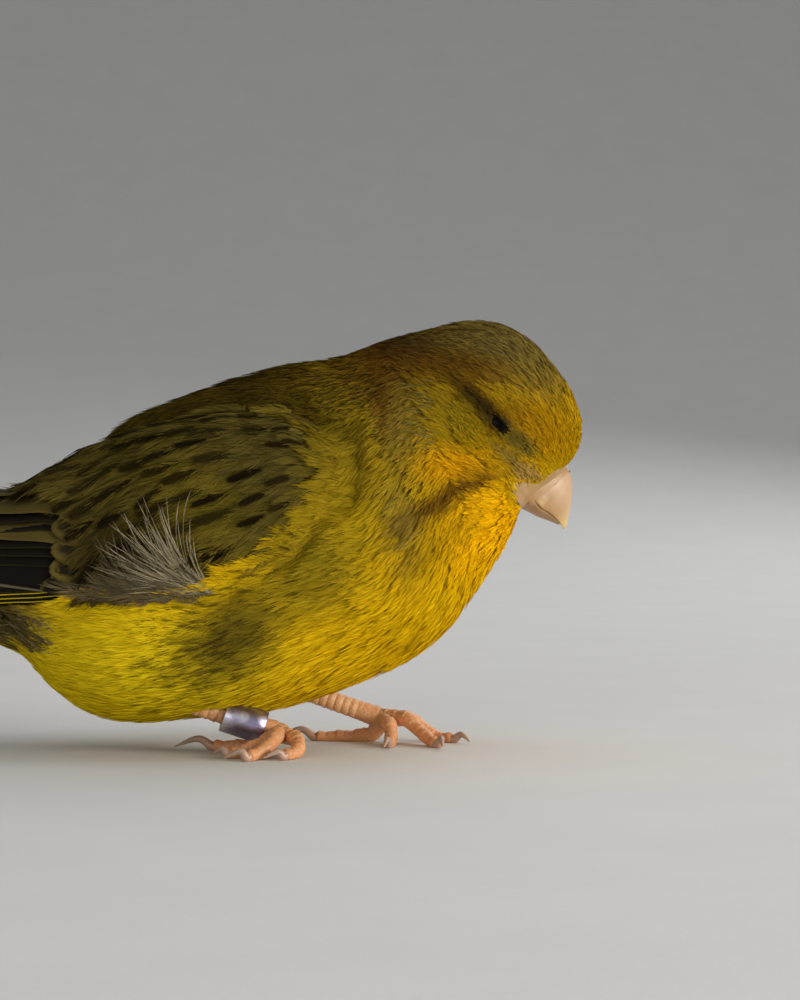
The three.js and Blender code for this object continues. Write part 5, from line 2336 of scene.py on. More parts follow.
    def corner(self, side: Side) -> MeshArrays:
        """Builds the bare corner of the mouth, which runs back over the cheek.

        Args:
            side: which side.

        Returns:
            The mesh.
        """
        rows, columns = self.CORNER_GRID
        front = self.CORNER_FRONT
        up = np.linspace(3.3, -3.6, rows)[:, None]
        part = np.linspace(0, 1, columns)[None, :]
        ahead = front + (np.interp(up, GAPE_UP, GAPE_BACK) - front) * part
        up = np.maximum(up + 0 * part, np.interp(ahead, self.LOW_AHEAD, self.LOW_UP) + 0.05)
        middle = on_bill(ahead, up, 0.0)
        rays = np.broadcast_to(np.array([0.0, float(side.value), 0.0]), middle.shape)
        flesh = FIELD.reach(FIELD.coat, middle.reshape(-1, 3), rays.reshape(-1, 3)).reshape(rows, columns)
        horn = self._side(ahead, up)
        share = smoothstep(-ahead, -0.55, 0.7)
        rim = smoothstep(part, 0.70, 1.0)
        behind = np.maximum(flesh - 0.12, horn + 0.06)
        out = horn + (behind - horn) * share - 0.12 * (1 - smoothstep(part, 0.0, 0.14)) - 0.32 * rim
        crease = np.exp(-((up + 2.3 - 0.12 * ahead) / 0.22) ** 2) * smoothstep(1 - part, 0.1, 0.5) * share
        out = np.maximum(out - 0.05 * crease, 0.05)
        upper = middle + rays * out[..., None]
        lower = upper - rays * 0.5
        faces = grid_faces(rows, columns, False)
        count = rows * columns
        uv = np.stack([part + 0 * up, (up + 3.7) / 7.0], axis=-1).reshape(-1, 2)
        blend = smoothstep(part + 0 * up, 0.40, 0.95).reshape(-1, 1) * 0.75
        tone = self.FLESH + (self.GAPE - self.FLESH) * blend
        # The crease is painted darker as well, as shade in the fold of the mouth's corner.
        tone = tone * (1 - 0.15 * crease.reshape(-1, 1))
        return facing(plain_arrays(
            np.vstack([upper.reshape(-1, 3), lower.reshape(-1, 3)]),
            np.vstack([faces, faces[:, ::-1] + count]),
            np.vstack([tone, tone]), np.vstack([uv, uv]),
        ), rays[0, 0])


@dataclass(frozen=True)
class LegPlan:
    """Where a leg and its toes lie, in millimetres.

    Args:
        root: where it leaves the belly.
        joint: where the toes part.
        toes: the places along each toe.
        claws: the places along each claw.
    """

    root: Point
    joint: Point
    toes: dict[str, tuple[Point, ...]]
    claws: dict[str, tuple[Point, ...]]


LEGS = {
    Side.RIGHT: LegPlan(
        (15.5, -6.6, 6.3), (27.2, -5.8, 2.3),
        {
            "inner": ((29.2, -8.2, 1.8), (29.4, -10.4, 0.9), (28.2, -11.9, 0.5)),
            "middle": ((27, -8.8, 2.2), (26, -11.4, 1.2), (24.4, -13, 0.5)),
            "outer": ((25.8, -8.7, 1.6), (23.8, -10, 0.9), (22.4, -10.4, 0.5)),
            "back": ((26.2, -4, 1.5), (24.2, -3, 0.65), (21.6, -2.4, 0.5), (20, -2, 0.5)),
        },
        {
            "inner": ((27.3, -12.7, 0.95), (25.9, -13.2, 0.35)),
            "middle": ((23.4, -13.5, 1.1), (21.6, -13.3, 0.35)),
            "outer": ((21.2, -10.3, 0.95), (20, -9.8, 0.3)),
            "back": ((18, -1.5, 1.25), (15.4, -1.1, 0.35)),
        },
    ),
    Side.LEFT: LegPlan(
        (27.6, 8.6, 6.4), (38.2, 8, 2.7),
        {
            "inner": ((39.2, 5.4, 2.1), (39.4, 2.8, 0.7), (39.2, 1, 0.45)),
            "middle": ((41, 6, 2.8), (43.2, 3.8, 1.1), (44.4, 1.2, 0.45)),
            "outer": ((41.6, 8.4, 2.4), (44.2, 7.8, 0.7), (46.2, 6.6, 0.45)),
            "back": ((37.3, 8.1, 1), (35.4, 8.3, 0.55), (33, 8.5, 0.48), (31, 8.7, 0.45)),
        },
        {
            "inner": ((39, -0.4, 1), (38.6, -1.8, 0.3)),
            "middle": ((45, -0.4, 1.15), (45.1, -2.4, 0.35)),
            "outer": ((47.4, 5.7, 1), (48.3, 4.6, 0.3)),
            "back": ((29, 9, 1.3), (26.4, 9.2, 0.35)),
        },
    ),
}


def scute_tree() -> bpy.types.NodeTree:
    """Builds the nodes that set overlapping plates along a straight shaft.

    Returns:
        The tree, with its sizes as named inputs.
    """
    tree = bpy.data.node_groups.new("shank_scutes", "GeometryNodeTree")
    tree.interface.new_socket("Geometry", in_out="OUTPUT", socket_type="NodeSocketGeometry")
    for name, kind in (
        ("Start", "Vector"), ("End", "Vector"), ("Count", "Int"), ("Skin", "Material"),
        ("Near", "Float"), ("Far", "Float"), ("Depth", "Float"),
    ):
        tree.interface.new_socket(name, in_out="INPUT", socket_type=f"NodeSocket{kind}")
    made = {
        key: tree.nodes.new(kind) for key, kind in (
            ("given", "NodeGroupInput"), ("line", "GeometryNodeCurvePrimitiveLine"),
            ("points", "GeometryNodeCurveToPoints"), ("plate", "GeometryNodeMeshCone"),
            ("place", "GeometryNodeInstanceOnPoints"), ("solid", "GeometryNodeRealizeInstances"),
            ("skin", "GeometryNodeSetMaterial"), ("result", "NodeGroupOutput"),
        )
    }
    made["plate"].inputs["Vertices"].default_value = 26
    for source, output, target, entry in (
        ("given", "Start", "line", "Start"), ("given", "End", "line", "End"),
        ("line", "Curve", "points", "Curve"), ("given", "Count", "points", "Count"),
        ("given", "Near", "plate", "Radius Bottom"), ("given", "Far", "plate", "Radius Top"),
        ("given", "Depth", "plate", "Depth"), ("points", "Points", "place", "Points"),
        ("points", "Rotation", "place", "Rotation"), ("plate", "Mesh", "place", "Instance"),
        ("place", "Instances", "solid", "Geometry"), ("solid", "Geometry", "skin", "Geometry"),
        ("given", "Skin", "skin", "Material"), ("skin", "Geometry", "result", "Geometry"),
    ):
        tree.links.new(made[source].outputs[output], made[target].inputs[entry])
    return tree


def grown_mesh(tree: bpy.types.NodeTree, values: dict[str, object]) -> bpy.types.Mesh:
    """Runs a tree of geometry nodes once and keeps its mesh.

    Args:
        tree: the tree.
        values: what goes into its named inputs.

    Returns:
        The plain mesh.
    """
    holder = bpy.data.objects.new(tree.name, bpy.data.meshes.new(tree.name))
    bpy.context.scene.collection.objects.link(holder)
    modifier = holder.modifiers.new(tree.name, "NODES")
    modifier.node_group = tree
    for item in tree.interface.items_tree:
        if item.in_out == "INPUT":
            modifier[item.identifier] = values[item.name]
    graph = bpy.context.evaluated_depsgraph_get()
    mesh = bpy.data.meshes.new_from_object(holder.evaluated_get(graph))
    shell = holder.data
    bpy.data.objects.remove(holder)
    bpy.data.meshes.remove(shell)
    return mesh


@dataclass(frozen=True)
class LegSizes:
    """Sizes of the legs, toes and the ring, in millimetres."""

    shank: float = 1.0
    scute_depth: float = 1.25
    scute_rise: float = 0.12
    ring_start: float = 0.49
    ring_length: float = 4.6
    ring_inner: float = 1.45
    ring_outer: float = 1.85
    ring_bevel: float = 0.08
    tarsus_scutes: int = 12
    toe_scutes: int = 8
    claw_root: float = 0.5


class LegBuilder:
    """Makes a leg, its toes and claws, and the ring."""

    # FLESH and DEEP are partly the legs' own pink skin and partly painted warm light bounced up from
    # below, which pushes them towards orange.
    FLESH = np.array([0.74, 0.36, 0.155])
    DEEP = np.array([0.70, 0.28, 0.105])
    KNUCKLE = np.array([0.68, 0.33, 0.18])
    QUICK = np.array([0.56, 0.30, 0.19])
    HORN = np.array([0.40, 0.27, 0.19])
    METAL = np.array([0.42, 0.40, 0.55])
    FLOOR = 0.02
    PLATE = 0.86

    def __init__(self, plan: LegPlan, sizes: LegSizes) -> None:
        """Keeps the plan.

        Args:
            plan: where the leg lies.
            sizes: its sizes.
        """
        self.plan = plan
        self.sizes = sizes
        self.root = np.array(plan.root)
        self.joint = np.array(plan.joint)
        self.shaft = unit(self.joint - self.root)

    def limb(
        self, path: Array, radius: Callable[[Array], Array], around: int, scutes: int, raise_by: float,
        pads: float = 0.0,
    ) -> Array:
        """Builds rings along a limb, with scutes over it and pads under it.

        Args:
            path: its middle line.
            radius: gives the half width at each part of it.
            around: how many points a ring has.
            scutes: how many plates cover it.
            raise_by: how far a plate's far edge stands up.
            pads: how far the pads swell below.

        Returns:
            The rings.
        """
        rows = len(path)
        part = np.linspace(0, 1, rows)
        ahead = unit(np.gradient(path, axis=0))
        side = unit(np.cross(ahead, np.array([0.0, 0.0, 1.0])))
        upward = unit(np.cross(side, ahead))
        angle = 2 * math.pi * (np.arange(around) + 0.5) / around
        step = (part * scutes) % 1.0
        plate = np.where(step < self.PLATE, step / self.PLATE, (1 - step) / (1 - self.PLATE))
        above = np.clip(np.sin(angle), 0, 1) ** 0.5
        below = np.clip(-np.sin(angle), 0, 1)
        swell = pads * (0.5 + 0.5 * np.cos(2 * math.pi * (part * 3.2 + 0.3)))
        size = radius(part)[:, None] + raise_by * (plate - 0.35)[:, None] * above[None, :]
        size = size + swell[:, None] * below[None, :]
        rings = path[:, None] + side[:, None] * (size * np.cos(angle))[..., None]
        rings = rings + upward[:, None] * (size * np.sin(angle))[..., None]
        rings[..., 2] = np.maximum(rings[..., 2], self.FLOOR)
        return rings

    def leg(self) -> MeshArrays:
        """Builds the scaled shaft of the leg.

        Returns:
            The mesh.
        """
        path = np.linspace(self.root - self.shaft * 0.6, self.joint - self.shaft * 0.4, 130)
        rings = self.limb(
            path, lambda part: self.sizes.shank + 0.22 * np.abs((part - 0.45) / 0.55) ** 2, 28,
            self.sizes.tarsus_scutes, 0.05,
        )
        return tube_arrays(rings, self._flesh(len(path), 0.0))

    def scutes(self, skin: bpy.types.Material) -> MeshArrays:
        """Sets the plates round the shaft with geometry nodes.

        Args:
            skin: the skin of the legs.

        Returns:
            The mesh.
        """
        sizes = self.sizes
        shaft = self.shaft
        mesh = grown_mesh(scute_tree(), {
            "Start": self.joint - shaft * 1.1,
            "End": self.root + shaft * 0.4,
            "Count": sizes.tarsus_scutes,
            "Skin": skin,
            "Near": sizes.shank + sizes.scute_rise,
            "Far": sizes.shank - 0.02,
            "Depth": sizes.scute_depth,
        })
        mesh.calc_loop_triangles()
        points = np.empty(len(mesh.vertices) * 3)
        mesh.vertices.foreach_get("co", points)
        faces = np.empty(len(mesh.loop_triangles) * 3, dtype=np.int32)
        mesh.loop_triangles.foreach_get("vertices", faces)
        points = points.reshape(-1, 3)
        bpy.data.meshes.remove(mesh)
        along = (points - self.root) @ shaft / np.linalg.norm(self.joint - self.root)
        uv = np.stack([np.full(len(points), 0.5), along], axis=1)
        # The plates are painted a little lighter than the skin, as a painted highlight on each scute.
        return outward_faces(plain_arrays(points, faces.reshape(-1, 3), self.FLESH * 1.06, uv))

    def _flesh(self, rows: int, red: float) -> Array:
        """Gives the skin's colour along a limb."""
        part = np.linspace(0, 1, rows)[:, None]
        return self.FLESH + (self.DEEP - self.FLESH) * part * red

    def foot(self) -> MeshArrays:
        """Builds the four toes.

        Returns:
            The mesh.
        """
        parts = []
        for name, places in self.plan.toes.items():
            path = smooth_path([self.plan.joint, *places], 110)
            rings = self.limb(
                path, lambda part: 0.95 - 0.35 * part + 0.07 * np.sin(part * math.pi * 6.4), 26,
                self.sizes.toe_scutes, 0.11, 0.16,
            )
            rings = self._rounded(rings)
            parts.append(tube_arrays(rings, self._flesh(len(rings), 0.5)))
        return MeshArrays.joined([*parts, self._knuckle()])

    @staticmethod
    def _rounded(rings: Array) -> Array:
        """Rounds off the far end of a limb.

        Args:
            rings: its rings.

        Returns:
            The rings with a rounded end.
        """
        last = rings[-1]
        middle = last.mean(axis=0)
        ahead = unit(middle - rings[-4].mean(axis=0))
        extra = [
            middle + (last - middle) * math.cos(turn) + ahead * 0.28 * math.sin(turn)
            for turn in (0.45, 0.8, 1.15, 1.4)
        ]
        return np.concatenate([rings, np.array(extra)])

    def _knuckle(self) -> MeshArrays:
        """Builds the round joint from which the toes part.

        Returns:
            The mesh.
        """
        polar, angle = ball_angles(22, 30, 0.05)
        rough = 1.18 + 0.05 * np.sin(9 * angle) * np.sin(7 * polar)
        rings = np.stack([
            self.joint[0] + rough * 1.1 * np.cos(polar) + 0 * angle,
            self.joint[1] + rough * np.sin(polar) * np.cos(angle),
            self.joint[2] + rough * 0.95 * np.sin(polar) * np.sin(angle),
        ], axis=-1)
        rings[..., 2] = np.maximum(rings[..., 2], self.FLOOR)
        return tube_arrays(rings, self.KNUCKLE)

    def claw(self, name: str) -> MeshArrays:
        """Builds a claw.

        Args:
            name: the toe's name.

        Returns:
            The mesh.
        """
        places = np.array(self.plan.toes[name])
        end = places[-1]
        ahead = unit(end - places[-2])
        start = end + ahead * 0.12
        path = smooth_path([start, start + ahead * 0.35, *self.plan.claws[name]], 34)
        root = self.sizes.claw_root
        rings = self.limb(path, lambda part: root * (1 - part) ** 0.8 + 0.05, 20, 0, 0.0)
        part = np.linspace(0, 1, len(path))[:, None]
        tone = self.QUICK + (self.HORN - self.QUICK) * smoothstep(part, 0.0, 0.45)
        return tube_arrays(rings, tone)

    def ring(self) -> MeshArrays:
        """Builds the leg ring with rounded rims.

        Returns:
            The mesh.
        """
        sizes = self.sizes
        shaft = self.shaft
        start = self.root + (self.joint - self.root) * sizes.ring_start
        side = unit(np.cross(shaft, np.array([0.0, 0.0, 1.0])))
        upward = np.cross(side, shaft)
        bevel = sizes.ring_bevel
        end = sizes.ring_length
        inner, outer = sizes.ring_inner, sizes.ring_outer
        profile = [
            (inner, bevel), (inner + bevel, 0.0), (outer - bevel, 0.0), (outer, bevel),
            (outer, end * 0.25), (outer, end * 0.5), (outer, end * 0.75), (outer, end - bevel),
            (outer - bevel, end), (inner + bevel, end), (inner, end - bevel), (inner, end / 2),
            (inner, bevel),
        ]
        angle = np.linspace(0, 2 * math.pi, 64, endpoint=False)[:, None]
        circle = side * np.cos(angle) + upward * np.sin(angle)
        rings = np.array([start + shaft * length + radius * circle for radius, length in profile])
        return tube_arrays(rings, self.METAL, ends=False)


# Loose wisps that stand off the coat


@dataclass(frozen=True)
class WispTuft:
    """A tuft of soft feathers that fans out over its neighbours.

    Args:
        root: x and z where it grows.
        spread: how far the roots are scattered along and up.
        turns: the first and last direction, in degrees up from straight ahead.
        length: how long the feathers are.
        width: how wide they are.
        count: how many there are.
        tone: their colour.
        level: how far their tips stand off.
        on_wing: whether they lie on the wing rather than the body.
        strand: whether they are single strands rather than loose vanes.
    """

    root: Pair
    spread: Pair
    turns: Pair
    length: float
    width: float
    count: int
    tone: Tone
    level: float
    on_wing: bool = True
    strand: bool = False


WISPS = (
    WispTuft((15.5, 17.9), (3.6, 0.6), (150, 180), 6.0, 1.8, 14, Tone.DUN, 0.1),
    WispTuft((19.4, 18.4), (1.6, 0.5), (120, 178), 10.4, 0.16, 110, Tone.SILVER, 0.28, strand=True),
    WispTuft((16.5, 18.1), (4.0, 0.6), (128, 180), 7.4, 0.20, 110, Tone.ASH, 0.2, strand=True),
    WispTuft((10.5, 17.6), (4.0, 0.5), (155, 184), 5.0, 1.6, 14, Tone.DUN, 0.1),
    WispTuft((-1.0, 12.4), (4.0, 2.4), (150, 188), 7.0, 2.0, 18, Tone.HOARY, 0.3, False),
    WispTuft((0.0, 13.0), (4.0, 2.4), (142, 184), 7.0, 0.3, 40, Tone.STRAW, 0.3, False, True),
    WispTuft((43.4, 36.8), (1.2, 4.0), (168, 190), 2.1, 0.16, 40, Tone.FAWN, 0.0, False, True),
    WispTuft((41.2, 26.0), (1.6, 3.8), (195, 225), 2.0, 0.16, 14, Tone.FAWN, 0.0, False, True),
    WispTuft((53.8, 31.2), (1.2, 0.7), (-62, -26), 2.2, 0.14, 44, Tone.SAND, 0.05, False, True),
    WispTuft((52.3, 29.4), (0.5, 1.3), (-60, -20), 1.4, 0.13, 50, Tone.GOLD, 0.05, False, True),
)


class WispBuilder:
    """Makes the loose wisps of one side."""

    VANE = PlumeStyle(8.0, 2.6, 44, 0.06, 1, 0.04, 0.12, 0.62)
    STRAND = PlumeStyle(8.0, 0.6, 7, 0.05, 7, 0.10, 0.10, 0.30)
    BACK = -46
    LENGTH = 110

    def __init__(self, seed: int) -> None:
        """Starts the chance."""
        self.vanes = PlumeCoat(self.VANE, seed)
        self.strands = PlumeCoat(self.STRAND, seed + 1)

    def build(self, tuft: WispTuft) -> MeshArrays:
        """Builds one tuft on the right side.

        Args:
            tuft: the tuft.

        Returns:
            The mesh.
        """
        coat = self.strands if tuft.strand else self.vanes
        rng = coat.rng
        distance = WING.top if tuft.on_wing else FIELD.body
        count = tuft.count
        x = tuft.root[0] + rng.uniform(-1, 1, count) * tuft.spread[0]
        z = tuft.root[1] + rng.uniform(-1, 1, count) * tuft.spread[1]
        origins = np.stack([x, np.full(count, -3.0), z], axis=1)
        rays = np.broadcast_to(np.array([0.0, -1.0, 0.0]), origins.shape)
        out = FIELD.reach(distance, origins, rays)
        roots = origins + rays * out[:, None]
        turn = np.radians(rng.uniform(*tuft.turns, count))
        headings = np.stack([np.cos(turn), np.zeros(count), np.sin(turn)], axis=1)
        size = rng.uniform(0.55, 1.15, count)
        shafts = Shafts.laid(
            distance, roots, headings, tuft.length * size, np.full(count, -0.2),
            tuft.level * rng.uniform(0.2, 1.0, count), 8,
            rng.normal(-0.25, 0.3, count) * (1.0 if tuft.on_wing else 0.3),
        )
        tone = tuft.tone.colour * rng.uniform(0.6, 1.2, count)[:, None]
        mark = np.stack([np.zeros(count), np.zeros(count), rng.random(count)], axis=1)
        bake = inset(np.stack([rng.random(count), (x - self.BACK) / self.LENGTH], axis=1))
        return coat.build(shafts, tuft.width * size, tone, tone, mark, bake)


# Materials


class Value:
    """A node's output that can be reckoned with."""

    def __init__(self, graph: "Graph", socket: bpy.types.NodeSocket) -> None:
        """Keeps the output and the graph it belongs to."""
        self.graph = graph
        self.socket = socket

    def __add__(self, other: "Value | float") -> "Value":
        """Adds another value."""
        return self.graph.math("ADD", self, other)

    def __radd__(self, other: float) -> "Value":
        """Is added to a number."""
        return self.graph.math("ADD", other, self)

    def __sub__(self, other: "Value | float") -> "Value":
        """Takes another value away."""
        return self.graph.math("SUBTRACT", self, other)

    def __rsub__(self, other: float) -> "Value":
        """Is taken away from a number."""
        return self.graph.math("SUBTRACT", other, self)

    def __mul__(self, other: "Value | float") -> "Value":
        """Multiplies by another value."""
        return self.graph.math("MULTIPLY", self, other)

    def __rmul__(self, other: float) -> "Value":
        """Is multiplied by a number."""
        return self.graph.math("MULTIPLY", other, self)

    def __abs__(self) -> "Value":
        """Gives the size without the sign."""
        return self.graph.math("ABSOLUTE", self)

    def smooth(self, low: float, high: float) -> "Value":
        """Rises smoothly from 0 at one value to 1 at another.

        Args:
            low: where it leaves 0.
            high: where it reaches 1.

        Returns:
            The new value.
        """
        outputs = self.graph.node(
            "ShaderNodeMapRange", {"Value": self, "From Min": low, "From Max": high},
            interpolation_type="SMOOTHSTEP",
        ).outputs
        return Value(self.graph, outputs["Result"])


class Graph:
    """Builds the nodes of one material."""

    NOISE_ROUGHNESS = 0.55
    PLUME_SHIFT = 37.0
    MIX_INPUTS = (0, 6, 7)
    MIX_OUTPUT = 2

    def __init__(self, name: str) -> None:
        """Starts a material with an empty graph.

        Args:
            name: the material's name.
        """
        self.material = bpy.data.materials.new(name)
        self.material.use_nodes = True
        self.tree = self.material.node_tree
        self.tree.nodes.clear()

    def node(
        self, kind: str, inputs: dict[str, object] | None = None, **settings: object
    ) -> bpy.types.Node:
        """Adds a node.

        Args:
            kind: its type.
            inputs: what goes into its sockets.
            settings: its own settings.

        Returns:
            The node.
        """
        made = self.tree.nodes.new(kind)
        for key, setting in settings.items():
            setattr(made, key, setting)
        for key, given in (inputs or {}).items():
            self.feed(made.inputs[key], given)
        return made

    def feed(self, socket: bpy.types.NodeSocket, given: object) -> None:
        """Links a value to a socket or sets it.

        Args:
            socket: the socket.
            given: a value or a constant.
        """
        if isinstance(given, Value):
            self.tree.links.new(given.socket, socket)
        elif isinstance(given, (tuple, list)) and len(given) == 3 and socket.type == "RGBA":
            socket.default_value = (*given, 1.0)
        else:
            socket.default_value = given

    def math(self, operation: str, first: "Value | float", second: "Value | float" = 0.0) -> Value:
        """Reckons with one or two values.

        Args:
            operation: what is done.
            first: the first value.
            second: the second value.

        Returns:
            The result.
        """
        made = self.node("ShaderNodeMath", operation=operation)
        self.feed(made.inputs[0], first)
        self.feed(made.inputs[1], second)
        return Value(self, made.outputs[0])

    def attribute(self, name: str) -> Value:
        """Reads a colour attribute of the mesh."""
        return Value(self, self.node("ShaderNodeAttribute", attribute_name=name).outputs["Color"])

    def parts(self, colour: Value) -> tuple[Value, Value, Value]:
        """Splits a colour or vector."""
        made = self.node("ShaderNodeSeparateXYZ", {"Vector": colour})
        return tuple(Value(self, made.outputs[key]) for key in "XYZ")

    def toned(self, factor: Value) -> Value:
        """Gives the mesh's own colour, made darker or lighter."""
        return self.scaled(self.attribute("tone"), factor)

    def own_map(self) -> tuple[Value, Value]:
        """Reads the mesh's own map.

        Returns:
            The places across and along.
        """
        made = self.node("ShaderNodeUVMap", uv_map=OWN_MAP)
        across, along, _ = self.parts(Value(self, made.outputs["UV"]))
        return across, along

    def place(self) -> Value:
        """Reads where a point lies on the bird."""
        return Value(self, self.node("ShaderNodeTexCoord").outputs["Object"])

    def noise(self, where: Value, scale: float, detail: float = 3.0) -> Value:
        """Adds a soft random pattern.

        Args:
            where: the place it is read at.
            scale: how fine it is.
            detail: how many finer layers it has.

        Returns:
            Values around one half.
        """
        made = self.node("ShaderNodeTexNoise", {
            "Vector": where, "Scale": scale, "Detail": detail, "Roughness": self.NOISE_ROUGHNESS,
        })
        return Value(self, made.outputs["Fac"])

    def stretched(
        self, across: Value, along: Value, wide: float, long: float, shift: "Value | float" = 0.0
    ) -> Value:
        """Gives places for a pattern that is drawn out along a feather."""
        places = {"X": across * wide, "Y": along * long, "Z": shift * self.PLUME_SHIFT}
        return Value(self, self.node("ShaderNodeCombineXYZ", places).outputs["Vector"])

    def mix(self, factor: "Value | float", first: object, second: object) -> Value:
        """Mixes two colours.

        Args:
            factor: how much of the second shows.
            first: the first colour.
            second: the second colour.

        Returns:
            The mixed colour.
        """
        made = self.node("ShaderNodeMix", data_type="RGBA", clamp_factor=True)
        for index, given in zip(self.MIX_INPUTS, (factor, first, second)):
            self.feed(made.inputs[index], given)
        return Value(self, made.outputs[self.MIX_OUTPUT])

    def scaled(self, colour: Value, factor: Value) -> Value:
        """Makes a colour darker or lighter.

        Args:
            colour: the colour.
            factor: what it is multiplied by.

        Returns:
            The new colour.
        """
        made = self.node("ShaderNodeVectorMath", operation="SCALE")
        self.feed(made.inputs[0], colour)
        self.feed(made.inputs["Scale"], factor)
        return Value(self, made.outputs[0])

    def bump(self, height: Value, strength: float, distance: float) -> Value:
        """Turns a height into a normal."""
        inputs = {"Height": height, "Strength": strength, "Distance": distance}
        return Value(self, self.node("ShaderNodeBump", inputs).outputs["Normal"])

    def surface(self, **inputs: object) -> bpy.types.Material:
        """Closes the graph with its shader.

        Args:
            inputs: the shader's inputs, with underscores for spaces.

        Returns:
            The material.
        """
        shader = self.node(
            "ShaderNodeBsdfPrincipled", {key.replace("_", " "): given for key, given in inputs.items()}
        )
        out = self.node("ShaderNodeOutputMaterial")
        self.tree.links.new(shader.outputs["BSDF"], out.inputs["Surface"])
        return self.material


@dataclass(frozen=True)
class FeatherLook:
    """How a kind of feather looks.

    Args:
        name: the material's name.
        streak: the colour of dark centres.
        streak_half: half their width, as a share of the feather's.
        barb_fine: how fine the barbs are.
        rough: how dull it is.
        shine: how much light it mirrors.
        bump: how strongly the barbs are raised.
        rim_low: where the rim starts across the vane.
        grain: how strongly the barbs differ in colour.
    """

    name: str
    streak: Point
    streak_half: float
    barb_fine: float
    rough: float
    shine: float
    bump: float
    rim_low: float
    grain: float
    STREAK_MIDDLE: ClassVar[float] = 0.66
    CLOUD_SCALE: ClassVar[float] = 260.0
    BARB_HEIGHT: ClassVar[float] = 0.00012

    def build(self) -> bpy.types.Material:
        """Builds the material.

        Returns:
            The material.
        """
        graph = Graph(self.name)
        across, along = graph.own_map()
        streak, rim, chance = graph.parts(graph.attribute("mark"))
        off_middle = abs(across - 0.5)
        lean = off_middle * 0.9
        barbs = graph.noise(
            graph.stretched(across, along - lean, 3.0, self.barb_fine, chance), 1.0, 2.0
        )
        ragged = graph.noise(graph.stretched(across, along, 7.0, 5.0, chance), 1.0, 3.0)
        taper = (along - self.STREAK_MIDDLE) * (along - self.STREAK_MIDDLE) * 0.9
        middle = 1.0 - (off_middle + (ragged - 0.5) * 0.12 + taper).smooth(
            self.streak_half * 0.4, self.streak_half * 1.35
        )
        length = along.smooth(0.22, 0.42) * (1.0 - (along + (ragged - 0.5) * 0.16).smooth(0.90, 0.99))
        colour = graph.mix(streak * middle * length, graph.attribute("tone"), self.streak)
        at_rim = (off_middle + (ragged - 0.5) * 0.02).smooth(self.rim_low, self.rim_low + 0.035)
        at_tip = (along + (ragged - 0.5) * 0.03).smooth(0.955, 0.985)
        rimmed = rim * graph.math("MAXIMUM", at_rim, at_tip)
        colour = graph.mix(rimmed, colour, graph.attribute("edge"))
        cloud = graph.noise(graph.place(), self.CLOUD_SCALE, 3.0)
        shade = (1.0 - self.grain) + barbs * (2 * self.grain)
        # The factor that rises along the feather is painted shade: each feather is darker at its root,
        # where the feathers over it cover it.
        shade = shade * (0.90 + cloud * 0.20) * (0.86 + along * 0.18)
        normal = graph.bump(barbs, self.bump, self.BARB_HEIGHT)
        return graph.surface(
            Base_Color=graph.scaled(colour, shade), Roughness=self.rough, Normal=normal,
            Specular_IOR_Level=self.shine,
        )


SMALL_FEATHER = FeatherLook(
    "plumage_soft", (0.030, 0.019, 0.005), 0.15, 22.0, 0.9, 0.0, 0.10, 0.6, 0.05
)
WING_FEATHER = FeatherLook(
    "plumage_wing", (0.010, 0.006, 0.002), 0.23, 34.0, 0.85, 0.02, 0.20, 0.40, 0.10
)
LONG_FEATHER = FeatherLook(
    "plumage_long", (0.012, 0.008, 0.004), 0.30, 150.0, 0.65, 0.07, 0.30, 0.445, 0.20
)
WISP_FEATHER = FeatherLook(
    "plumage_wisp", Tone.ASH.value, 0.1, 20.0, 0.85, 0.05, 0.1, 0.6, 0.10
)


def skin_material() -> bpy.types.Material:
    """Builds the skin under the coat, marked as the coat is.

    Returns:
        The material.
    """
    graph = Graph("skin_under_coat")
    where = graph.place()
    pores = graph.noise(where, 900.0, 2.0)
    cloud = graph.noise(where, 140.0, 3.0)
    colour = graph.toned(0.75 + cloud * 0.3)
    return graph.surface(
        Base_Color=colour, Roughness=0.85, Normal=graph.bump(pores, 0.4, 0.0002),
        Specular_IOR_Level=0.05,
    )


def bare_skin_material(
    name: str, rough: float, fine: float, wet: float, shine: float = 0.5
) -> bpy.types.Material:
    """Builds bare, scaly skin.

    Args:
        name: the material's name.
        rough: how dull it is.
        fine: how fine its scales are.
        wet: how wet it is.
        shine: how much light it mirrors.

    Returns:
        The material.
    """
    graph = Graph(name)
    where = graph.place()
    cells = graph.node(
        "ShaderNodeTexVoronoi", {"Vector": where, "Scale": fine}, feature="DISTANCE_TO_EDGE"
    )
    creases = Value(graph, cells.outputs["Distance"]).smooth(0.0, 0.22)
    blotch = graph.noise(where, 420.0, 3.0)
    # The creases between the scales are painted darker, as shade in the folds.
    colour = graph.toned((0.78 + blotch * 0.44) * (0.86 + creases * 0.14))
    return graph.surface(
        Base_Color=colour, Roughness=rough, Normal=graph.bump(creases, 0.25, 0.00012),
        Coat_Weight=wet, Coat_Roughness=0.35, Specular_IOR_Level=shine, Subsurface_Weight=0.25,
        Subsurface_Radius=FLESH_RADIUS, Subsurface_Scale=0.6,
    )


